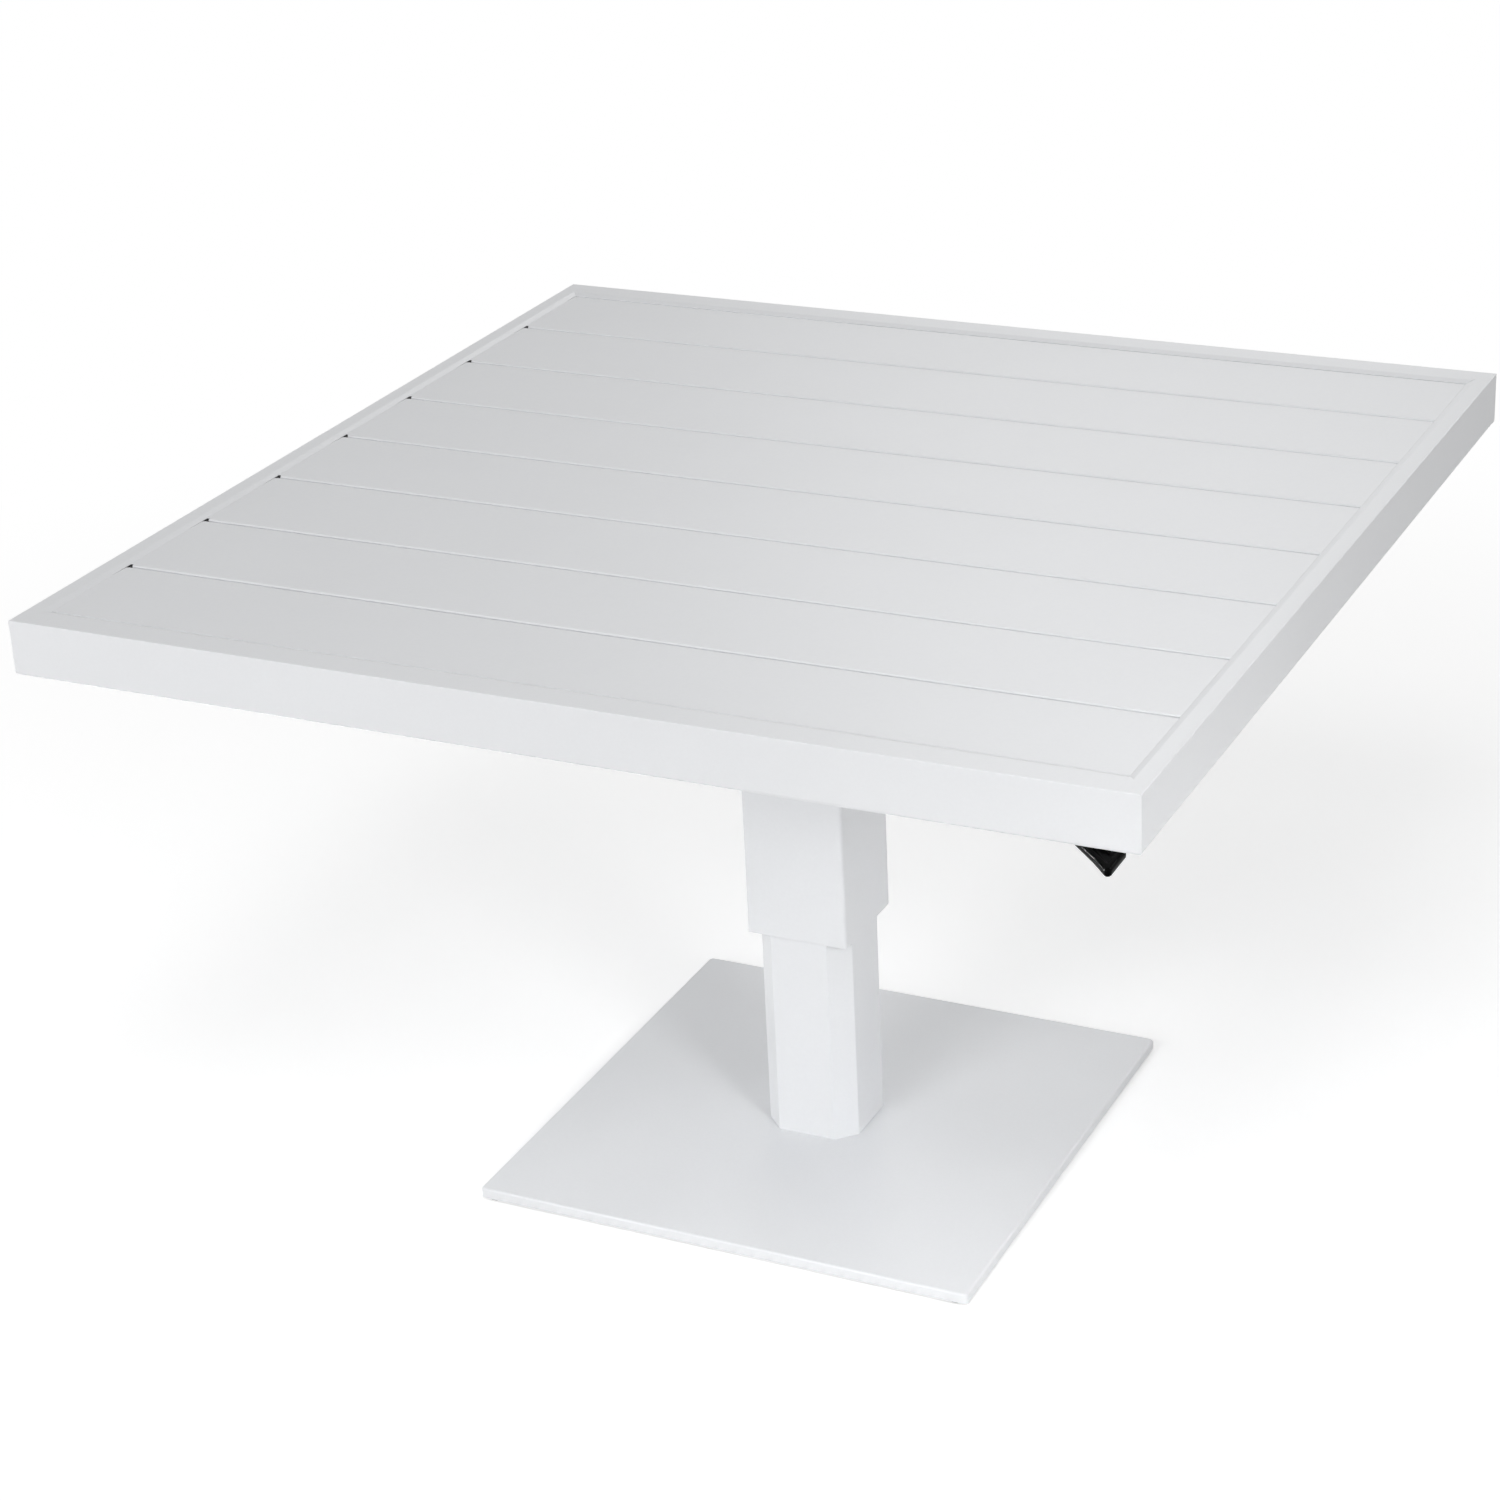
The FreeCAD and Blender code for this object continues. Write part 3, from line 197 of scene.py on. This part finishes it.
def noise(material, waves, detail, stretch=(1, 1, 1)):
    """Noise in the part's own metres."""
    tree = material.node_tree
    place = tree.nodes.new("ShaderNodeTexCoord")
    mapping = tree.nodes.new("ShaderNodeMapping")
    mapping.inputs["Scale"].default_value = stretch
    texture = tree.nodes.new("ShaderNodeTexNoise")
    texture.inputs["Scale"].default_value = waves
    texture.inputs["Detail"].default_value = detail
    tree.links.new(place.outputs["Object"], mapping.inputs["Vector"])
    tree.links.new(mapping.outputs["Vector"], texture.inputs["Vector"])
    return texture.outputs["Fac"]


def blend_range(material, source, low, high):
    """The 0 to 1 source, spread over its middle and mapped to low..high."""
    spread = material.node_tree.nodes.new("ShaderNodeMapRange")
    spread.inputs["From Min"].default_value = NOISE_LOW
    spread.inputs["From Max"].default_value = NOISE_HIGH
    spread.inputs["To Min"].default_value = low
    spread.inputs["To Max"].default_value = high
    material.node_tree.links.new(source, spread.inputs["Value"])
    return spread.outputs["Result"]


def mottled(material, waves, detail, first, second):
    """Colour that drifts between two tones."""
    drift = blend_range(material, noise(material, waves, detail), 0, 1)
    mix = material.node_tree.nodes.new("ShaderNodeMix")
    mix.data_type = "RGBA"
    mix.inputs["A"].default_value = (*first, 1)
    mix.inputs["B"].default_value = (*second, 1)
    material.node_tree.links.new(drift, mix.inputs["Factor"])
    return mix.outputs["Result"]


def scaled(tone, factor):
    return tuple(channel * factor for channel in tone)


def bump(material, shader, source, depth, strength, under=None):
    """Relief on the shader's surface, over another relief if there is one under it."""
    node = material.node_tree.nodes.new("ShaderNodeBump")
    node.inputs["Strength"].default_value = strength
    node.inputs["Distance"].default_value = depth
    material.node_tree.links.new(source, node.inputs["Height"])
    if under is not None:
        material.node_tree.links.new(under, node.inputs["Normal"])
    material.node_tree.links.new(node.outputs["Normal"], shader.inputs["Normal"])
    return node.outputs["Normal"]


def powder_coat(name, tone):
    """Satin powder coat: fine orange peel over a slow unevenness of the film."""
    material, shader = node_material(name)
    link = material.node_tree.links.new
    light = scaled(tone, COAT_LIGHT)
    shade = scaled(tone, COAT_SHADE)
    film = mottled(material, COAT_FILM_WAVES, 3, light, shade)
    grain = mottled(material, COAT_GRAIN_WAVES, 3, light, shade)
    half_of_each = material.node_tree.nodes.new("ShaderNodeMix")
    half_of_each.data_type = "RGBA"
    link(film, half_of_each.inputs["A"])
    link(grain, half_of_each.inputs["B"])
    link(half_of_each.outputs["Result"], shader.inputs["Base Color"])
    fine = noise(material, COAT_FINE_WAVES, 2)
    link(blend_range(material, fine, *COAT_ROUGHNESS), shader.inputs["Roughness"])
    coarse = noise(material, COAT_PEEL_WAVES, 3)
    peel = bump(material, shader, coarse, COAT_PEEL_DEPTH, COAT_BUMP)
    bump(material, shader, fine, COAT_FINE_DEPTH, COAT_BUMP, peel)
    return material


def plain_metal(name, tone, roughness, brush=(1, 1, 40)):
    """Bare or plated metal with a fine brushed grain and cloudy patches."""
    material, shader = node_material(name)
    link = material.node_tree.links.new
    cloud = mottled(material, METAL_CLOUD_WAVES, 4, tone, scaled(tone, METAL_CLOUD_SHADE))
    link(cloud, shader.inputs["Base Color"])
    grain = noise(material, METAL_GRAIN_WAVES, 3, brush)
    uneven = blend_range(material, grain, roughness - METAL_SMOOTHER, roughness + METAL_ROUGHER)
    link(uneven, shader.inputs["Roughness"])
    shader.inputs["Metallic"].default_value = 1.0
    bump(material, shader, grain, METAL_GRAIN_DEPTH, GRAIN_BUMP)
    return material


def moulded(name, tone, roughness, grain_depth, coat=0.0, index=PLASTIC_INDEX):
    """Moulded plastic or rubber, or enamel: slight mottling and a very fine grain."""
    material, shader = node_material(name)
    link = material.node_tree.links.new
    mottle = mottled(material, MOULD_MOTTLE_WAVES, 3, tone, scaled(tone, MOULD_MOTTLE_LIGHT))
    link(mottle, shader.inputs["Base Color"])
    grain = noise(material, MOULD_GRAIN_WAVES, 2)
    link(blend_range(material, grain, *roughness), shader.inputs["Roughness"])
    shader.inputs["IOR"].default_value = index
    shader.inputs["Coat Weight"].default_value = coat
    shader.inputs["Coat Roughness"].default_value = MOULD_COAT_ROUGHNESS
    bump(material, shader, grain, grain_depth, GRAIN_BUMP)
    return material


MATERIALS = {
    "coated_top": powder_coat("coated_top", WHITE),
    "coated_column": powder_coat("coated_column", WHITE),
    "coated_base": powder_coat("coated_base", WHITE),
    "plain_aluminium": plain_metal("plain_aluminium", (0.72, 0.73, 0.75), 0.38),
    "zinc_steel": plain_metal("zinc_steel", (0.62, 0.63, 0.66), 0.34, brush=(1, 1, 1)),
    "ground_steel": plain_metal("ground_steel", (0.68, 0.69, 0.71), 0.18, brush=(1, 1, 8)),
    "black_steel": moulded(
        "black_steel", (0.012, 0.012, 0.013), (0.28, 0.40), grain_depth=0.00001, coat=0.2
    ),
    "black_nylon": moulded(
        "black_nylon", (0.015, 0.015, 0.016), (0.48, 0.62), grain_depth=0.00002
    ),
    "seal_rubber": moulded(
        "seal_rubber", (0.013, 0.013, 0.013), (0.60, 0.75), grain_depth=0.00002
    ),
    "black_grip": moulded(
        "black_grip", (0.001, 0.001, 0.001), (0.10, 0.16), grain_depth=0.000004, index=1.09
    ),
}


def paint(piece, slot):
    piece.data.materials.clear()
    piece.data.materials.append(MATERIALS[slot])


def finish(piece, node):
    """Give a piece the node's material and body, and let it stand for the node."""
    slot = SLOT_OF[node]
    paint(piece, slot)
    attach(piece, BODY_OF[node])
    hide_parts(node)


# ---------------------------------------------------------------- mesh code


def new_piece(name, mesh):
    piece = bpy.data.objects.new(name, mesh)
    bpy.context.scene.collection.objects.link(piece)
    return piece


def finished_mesh(name, mesh_tool):
    """Mesh of a bmesh whose faces all look outwards; the bmesh is used up."""
    bmesh.ops.recalc_face_normals(mesh_tool, faces=mesh_tool.faces)
    mesh = bpy.data.meshes.new(name)
    mesh_tool.to_mesh(mesh)
    mesh_tool.free()
    return mesh


def solid_of(node):
    """The node's own solid as a bmesh, its doubled points merged."""
    mesh_tool = bmesh.new()
    mesh_tool.from_mesh(frame["nodes"][node].data)
    bmesh.ops.remove_doubles(mesh_tool, verts=mesh_tool.verts, dist=MERGE_DISTANCE)
    return mesh_tool


def apply_modifiers(piece):
    bpy.context.view_layer.update()
    ready = piece.evaluated_get(bpy.context.evaluated_depsgraph_get())
    mesh = bpy.data.meshes.new_from_object(ready)
    piece.modifiers.clear()
    piece.data = mesh


def keep_flats_flat(piece):
    """Smooth shading in which the large faces set the normals and the rounds follow."""
    piece.data.shade_smooth()
    piece.data.set_sharp_from_angle(angle=SMOOTH_ANGLE)
    weighted = piece.modifiers.new("normals", "WEIGHTED_NORMAL")
    weighted.weight = LARGEST_FACE_WEIGHT
    weighted.keep_sharp = True
    apply_modifiers(piece)


def round_edges(piece, width):
    """Bevel every sharp edge."""
    bevel = piece.modifiers.new("edges", "BEVEL")
    bevel.width = width
    bevel.segments = EDGE_SEGMENTS
    bevel.limit_method = "ANGLE"
    bevel.angle_limit = SMOOTH_ANGLE
    apply_modifiers(piece)
    keep_flats_flat(piece)


def loft(mesh_tool, first, second):
    """Closed skin between two equal outlines of 3-D points, with a cap on each."""
    count = len(first)
    low = [mesh_tool.verts.new(point) for point in first]
    high = [mesh_tool.verts.new(point) for point in second]
    for index in range(count):
        after = (index + 1) % count
        mesh_tool.faces.new((low[index], low[after], high[after], high[index]))
    mesh_tool.faces.new(list(reversed(low)))
    mesh_tool.faces.new(high)


def add_box(mesh_tool, low, high):
    """Closed box between two opposite corners."""
    ends = (
        [(x, low.y, low.z), (x, high.y, low.z), (x, high.y, high.z), (x, low.y, high.z)]
        for x in (low.x, high.x)
    )
    loft(mesh_tool, *ends)


def cut_boxes(piece, boxes):
    """Take boxes away from a piece, each given by two opposite corners."""
    mesh_tool = bmesh.new()
    for low, high in boxes:
        add_box(mesh_tool, low, high)
    cutter = new_piece("cutter", finished_mesh("cutter", mesh_tool))
    boolean = piece.modifiers.new("cut", "BOOLEAN")
    boolean.operation = "DIFFERENCE"
    boolean.solver = "EXACT"
    boolean.object = cutter
    apply_modifiers(piece)
    bpy.data.objects.remove(cutter)


def rounded_outline(corners, segments=CORNER_SEGMENTS):
    """Closed outline of (across, up, radius) corners, each with its own round."""
    outline = []
    for index, (across, up, radius) in enumerate(corners):
        here = Vector((across, up))
        before = (Vector(corners[index - 1][:2]) - here).normalized()
        after = (Vector(corners[(index + 1) % len(corners)][:2]) - here).normalized()
        if radius == 0:
            outline.append(here)
            continue
        half_angle = before.angle(after) / 2
        run = radius / math.tan(half_angle)
        centre = here + (before + after).normalized() * (radius / math.sin(half_angle))
        start = here + before * run - centre
        sweep = start.angle_signed(here + after * run - centre)
        for step in range(segments + 1):
            turned = start.copy()
            turned.rotate(Matrix.Rotation(-sweep * step / segments, 2))
            outline.append(centre + turned)
    return outline


# ---------------------------------------------------------------- table top


def rail_point(node, along, inward, up):
    """Point of a rail, from its place along the rail and inward from the outer face."""
    return {
        "front_rail": (along, inward - TOP_HALF, up),
        "rear_rail": (-along, TOP_HALF - inward, up),
        "left_rail": (inward - TOP_HALF, -along, up),
        "right_rail": (TOP_HALF - inward, along, up),
    }[node]


def make_rail(node, width, other_width, ledge):
    """Mitred rail: flat apron, fine upper edge, and a lip that slopes down to the slats."""
    bottom = TABLE_HEIGHT - RAIL_HEIGHT
    corners = [(0, bottom, RAIL_FOOT_RADIUS), (width, bottom, FINE_EDGE)]
    if ledge:
        top = TABLE_HEIGHT - SLAT_DROP - SLAT_HEIGHT
        corners += [
            (width, top - LEDGE_THICKNESS, 0), (width + LEDGE_WIDTH, top - LEDGE_THICKNESS, 0),
            (width + LEDGE_WIDTH, top, 0), (width, top, 0),
        ]
    corners += [
        (width, TABLE_HEIGHT - SLAT_DROP, FINE_EDGE),
        (width - RAIL_LIP_WIDTH, TABLE_HEIGHT, RAIL_LIP_RADIUS),
        (0, TABLE_HEIGHT, RAIL_EDGE_RADIUS),
    ]
    outline = rounded_outline(corners)
    slope = other_width / width
    ends = []
    for sign in (-1, 1):
        ends.append([
            rail_point(node, sign * (TOP_HALF - inward * slope), inward, up)
            for inward, up in outline
        ])
    mesh_tool = bmesh.new()
    loft(mesh_tool, *ends)
    piece = new_piece(f"{node}_finished", finished_mesh(node, mesh_tool))
    keep_flats_flat(piece)
    finish(piece, node)


def slat_limits(index):
    """Lowest and highest corners of a slat, met flush with the right rail, and its rear edge."""
    low, high = (Vector(corner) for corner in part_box(f"slat_{index}"))
    high.x = TOP_HALF - SIDE_RAIL_WIDTH
    return low, high, high.y if index == SLAT_COUNT else high.y - TONGUE_REACH


def slat_skin(low, high, rear, front_opening):
    """Plank with rounded upper edges; its left end is eased towards the rear corner.

    With a front opening, its front edge draws back by that much at the left end.
    """
    ease_start = rear - SLAT_EASE_RUN
    outline = rounded_outline([
        (low.y, low.z, 0), (ease_start, low.z, 0), (rear, low.z, 0),
        (rear, high.z, SLAT_REAR_RADIUS), (ease_start, high.z, 0),
        (low.y, high.z, SLAT_FRONT_RADIUS),
    ])
    left, right = [], []
    for y, z in outline:
        ease = SLAT_EASE * max(0, (y - ease_start) / SLAT_EASE_RUN)
        at_front = y < low.y + 2 * SLAT_FRONT_RADIUS
        left.append((low.x + ease, y + (front_opening if at_front else 0), z))
        right.append((high.x, y, z))
    mesh_tool = bmesh.new()
    loft(mesh_tool, left, right)
    fold = [
        vert for vert in mesh_tool.verts
        if vert.co.x < 0 and abs(vert.co.y - ease_start) < FOLD_TOLERANCE
    ]
    bmesh.ops.connect_verts(mesh_tool, verts=fold)
    return mesh_tool


def slat_chambers(front, low, high, rear):
    """Boxes of the hollow chambers that run through a slat."""
    cell = (rear - front - (SLAT_CELLS + 1) * SLAT_WALL) / SLAT_CELLS
    for number in range(SLAT_CELLS):
        start = front + SLAT_WALL + number * (cell + SLAT_WALL)
        yield (
            Vector((low.x - CUT_MARGIN, start, low.z + SLAT_WALL)),
            Vector((high.x + CUT_MARGIN, start + cell, high.z - SLAT_WALL)),
        )


def drain_notch(low, high, edge):
    """Box that notches a slat's left end at one of its long edges."""
    return (
        Vector((low.x - DRAIN_NOTCH, edge - DRAIN_NOTCH, low.z - CUT_MARGIN)),
        Vector((low.x + DRAIN_NOTCH, edge + DRAIN_NOTCH, high.z + CUT_MARGIN)),
    )


def add_tongue(piece, low, high, rear):
    """Tongue under the joint, set back from both ends of the slat."""
    mesh_tool = bmesh.new()
    mesh_tool.from_mesh(piece.data)
    top = high.z - TONGUE_DEPTH
    add_box(
        mesh_tool,
        Vector((low.x + TONGUE_SETBACK, rear, top - TONGUE_THICKNESS)),
        Vector((high.x - TONGUE_SETBACK, high.y, top)),
    )
    mesh_tool.to_mesh(piece.data)
    mesh_tool.free()


def make_slat(index):
    """Hollow slat, notched at its left corners, with a tongue that closes the joint behind it."""
    node = f"slat_{index}"
    low, high, rear = slat_limits(index)
    first, last = index == 1, index == SLAT_COUNT
    reach = REAR_JOINT_CLOSING if last else 0
    opening = FRONT_JOINT_OPENING if first else 0
    skin = slat_skin(low, high, rear + reach, opening)
    piece = new_piece(f"{node}_finished", finished_mesh(node, skin))
    cut_boxes(piece, slat_chambers(low.y + opening, low, high, rear))
    if last:
        cut_boxes(piece, [(
            Vector((REAR_JOINT_START, rear - REAR_JOINT_OPENING, low.z - CUT_MARGIN)),
            Vector((high.x + CUT_MARGIN, rear + reach + CUT_MARGIN, high.z + CUT_MARGIN)),
        )])
    edges = ([] if first else [low.y]) + ([] if last else [rear])
    cut_boxes(piece, [drain_notch(low, high, edge) for edge in edges])
    if not last:
        add_tongue(piece, low, high, rear)
    keep_flats_flat(piece)
    finish(piece, node)


def make_drain_shade_cup(index):
    """Small black cup in the notches between a slat and the one behind it: painted shade that
    makes the open drain hole look dark.
    """
    low, high, rear = slat_limits(index)
    next_low = slat_limits(index + 1)[0]
    seat, wall = DRAIN_SHADE_CUP_SEAT, DRAIN_SHADE_CUP_WALL
    near, far = rear - DRAIN_NOTCH - seat, next_low.y + DRAIN_NOTCH + seat
    left, right = low.x - seat, low.x + DRAIN_NOTCH + seat
    top = high.z - DRAIN_SHADE_CUP_DROP
    outline = rounded_outline(
        [(left, near, seat), (right, near, seat), (right, far, seat), (left, far, seat)],
        DRAIN_CORNER_SEGMENTS,
    )
    mesh_tool = bmesh.new()
    loft(
        mesh_tool,
        [(x, y, top - DRAIN_SHADE_CUP_HEIGHT) for x, y in outline],
        [(x, y, top) for x, y in outline],
    )
    name = f"drain_shade_cup_{index}"
    piece = new_piece(name, finished_mesh(name, mesh_tool))
    cut_boxes(piece, [(
        Vector((left + wall, near + wall, top - DRAIN_SHADE_CUP_HEIGHT + wall)),
        Vector((right - wall, far - wall, top + wall)),
    )])
    paint(piece, "black_nylon")
    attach(piece, "top")


for node in ("front_rail", "rear_rail"):
    make_rail(node, END_RAIL_WIDTH, SIDE_RAIL_WIDTH, ledge=False)
for node in ("left_rail", "right_rail"):
    make_rail(node, SIDE_RAIL_WIDTH, END_RAIL_WIDTH, ledge=True)
for index in range(1, SLAT_COUNT + 1):
    make_slat(index)
# Black cups in the drain notches: painted shade for the dark drain holes.
for index in range(1, SLAT_COUNT):
    make_drain_shade_cup(index)


# ---------------------------------------------------------------- column, base and fittings


def make_paddle():
    """Moulded paddle: the solid's form, its rim and the foot of its spine blended smooth."""
    node = "lever_paddle"
    piece = new_piece(f"{node}_finished", finished_mesh(node, solid_of(node)))
    remesh = piece.modifiers.new("skin", "REMESH")
    remesh.mode = "VOXEL"
    remesh.voxel_size = PADDLE_VOXEL
    blend = piece.modifiers.new("blend", "SMOOTH")
    blend.factor = PADDLE_BLEND
    blend.iterations = PADDLE_BLEND_STEPS
    apply_modifiers(piece)
    piece.data.shade_smooth()
    finish(piece, node)


def soften(node, width):
    """The node's own solid with its facets merged and its edges rounded a little."""
    mesh_tool = solid_of(node)
    bmesh.ops.dissolve_limit(
        mesh_tool, angle_limit=FLAT_ANGLE, verts=mesh_tool.verts, edges=mesh_tool.edges
    )
    piece = new_piece(f"{node}_finished", finished_mesh(node, mesh_tool))
    round_edges(piece, width)
    finish(piece, node)


make_paddle()
for node, width in SOFTENED.items():
    soften(node, width * MM)

# The solids that no finished piece stands for show as they are.
for node, item in frame["nodes"].items():
    if not item.hide_render:
        paint(item, SLOT_OF[node])


# ---------------------------------------------------------------- studio


def shows_backdrop(tree):
    """1 for rays that show the backdrop: seen by the camera, in a reflection or through glass."""
    path = tree.nodes.new("ShaderNodeLightPath")
    shown = path.outputs["Is Camera Ray"]
    for ray in ("Is Glossy Ray", "Is Transmission Ray"):
        either = tree.nodes.new("ShaderNodeMath")
        either.operation = "MAXIMUM"
        tree.links.new(shown, either.inputs[0])
        tree.links.new(path.outputs[ray], either.inputs[1])
        shown = either.outputs["Value"]
    return shown


def floor_material():
    """Pale paint that fades to plain white with distance, where a ray shows the backdrop."""
    material = bpy.data.materials.new("floor")
    material.use_nodes = True
    tree = material.node_tree
    tree.nodes.clear()
    link = tree.links.new
    paint_shader = tree.nodes.new("ShaderNodeBsdfDiffuse")
    paint_shader.inputs["Color"].default_value = FLOOR_COLOUR
    glow = tree.nodes.new("ShaderNodeEmission")
    glow.inputs["Strength"].default_value = FLOOR_GLOW
    lit = tree.nodes.new("ShaderNodeAddShader")
    link(paint_shader.outputs["BSDF"], lit.inputs[0])
    link(glow.outputs["Emission"], lit.inputs[1])
    white = tree.nodes.new("ShaderNodeEmission")
    place = tree.nodes.new("ShaderNodeTexCoord")
    reach = tree.nodes.new("ShaderNodeVectorMath")
    reach.operation = "LENGTH"
    link(place.outputs["Object"], reach.inputs[0])
    fade = tree.nodes.new("ShaderNodeMapRange")
    fade.interpolation_type = "SMOOTHSTEP"
    fade.inputs["From Min"].default_value = FADE_START
    fade.inputs["From Max"].default_value = FADE_END
    link(reach.outputs["Value"], fade.inputs["Value"])
    shown = tree.nodes.new("ShaderNodeMixShader")
    link(fade.outputs["Result"], shown.inputs["Fac"])
    link(lit.outputs["Shader"], shown.inputs[1])
    link(white.outputs["Emission"], shown.inputs[2])
    choose = tree.nodes.new("ShaderNodeMixShader")
    output = tree.nodes.new("ShaderNodeOutputMaterial")
    link(shows_backdrop(tree), choose.inputs["Fac"])
    link(paint_shader.outputs["BSDF"], choose.inputs[1])
    link(shown.outputs["Shader"], choose.inputs[2])
    link(choose.outputs["Shader"], output.inputs["Surface"])
    return material


def make_floor():
    """Pale floor just below the glides; it keeps the table's shadow."""
    mesh_tool = bmesh.new()
    bmesh.ops.create_grid(
        mesh_tool, x_segments=FLOOR_CELLS, y_segments=FLOOR_CELLS, size=FLOOR_HALF
    )
    bmesh.ops.translate(mesh_tool, verts=mesh_tool.verts, vec=(0, 0, -FLOOR_DROP))
    mesh = bpy.data.meshes.new("floor")
    mesh_tool.to_mesh(mesh)
    mesh_tool.free()
    floor = new_piece("floor", mesh)
    mesh.materials.append(floor_material())


def make_world():
    """White where the backdrop shows, and a plain even light for everything else."""
    world = bpy.data.worlds.new("studio")
    bpy.context.scene.world = world
    world.use_nodes = True
    tree = world.node_tree
    tree.nodes.clear()
    white = tree.nodes.new("ShaderNodeBackground")
    white.inputs["Color"].default_value = BACKDROP_COLOUR
    even = tree.nodes.new("ShaderNodeBackground")
    even.inputs["Color"].default_value = BACKDROP_COLOUR
    even.inputs["Strength"].default_value = EVEN_LIGHT
    choose = tree.nodes.new("ShaderNodeMixShader")
    output = tree.nodes.new("ShaderNodeOutputWorld")
    link = tree.links.new
    link(shows_backdrop(tree), choose.inputs["Fac"])
    link(even.outputs["Background"], choose.inputs[1])
    link(white.outputs["Background"], choose.inputs[2])
    link(choose.outputs["Shader"], output.inputs["Surface"])


def add_softbox(name, place, aim, width, height, power, spread):
    """Rectangular lamp that faces a point."""
    lamp = bpy.data.lights.new(name, "AREA")
    lamp.shape = "RECTANGLE"
    lamp.size = width
    lamp.size_y = height
    lamp.energy = power
    lamp.spread = math.radians(spread)
    item = bpy.data.objects.new(name, lamp)
    bpy.context.scene.collection.objects.link(item)
    item.location = place
    item.rotation_euler = (Vector(aim) - Vector(place)).to_track_quat("-Z", "Y").to_euler()


def add_camera():
    """Camera at the photograph's place: to the right of the front, looking down on the top."""
    turn, tilt, roll = (math.radians(angle) for angle in CAMERA_TURN_TILT_ROLL)
    forward = Vector((
        math.cos(tilt) * math.sin(turn), math.cos(tilt) * math.cos(turn), -math.sin(tilt)
    ))
    level = Vector((math.cos(turn), -math.sin(turn), 0))
    upright = level.cross(forward)
    right = level * math.cos(roll) + upright * math.sin(roll)
    up = upright * math.cos(roll) - level * math.sin(roll)
    x, y, z = CAMERA_PLACE
    data = bpy.data.cameras.new("camera")
    data.sensor_width = SENSOR_WIDTH
    data.lens = FOCAL_LENGTH * data.sensor_width / PHOTO_WIDTH
    data.clip_end = FARTHEST_VIEW
    camera = bpy.data.objects.new("camera", data)
    bpy.context.scene.collection.objects.link(camera)
    camera.matrix_world = Matrix((
        (right.x, up.x, -forward.x, x),
        (right.y, up.y, -forward.y, y),
        (right.z, up.z, -forward.z, z),
        (0, 0, 0, 1),
    ))
    bpy.context.scene.camera = camera


make_floor()
make_world()
for softbox in SOFTBOXES:
    add_softbox(*softbox)
add_camera()
bpy.context.scene.view_settings.view_transform = "Standard"
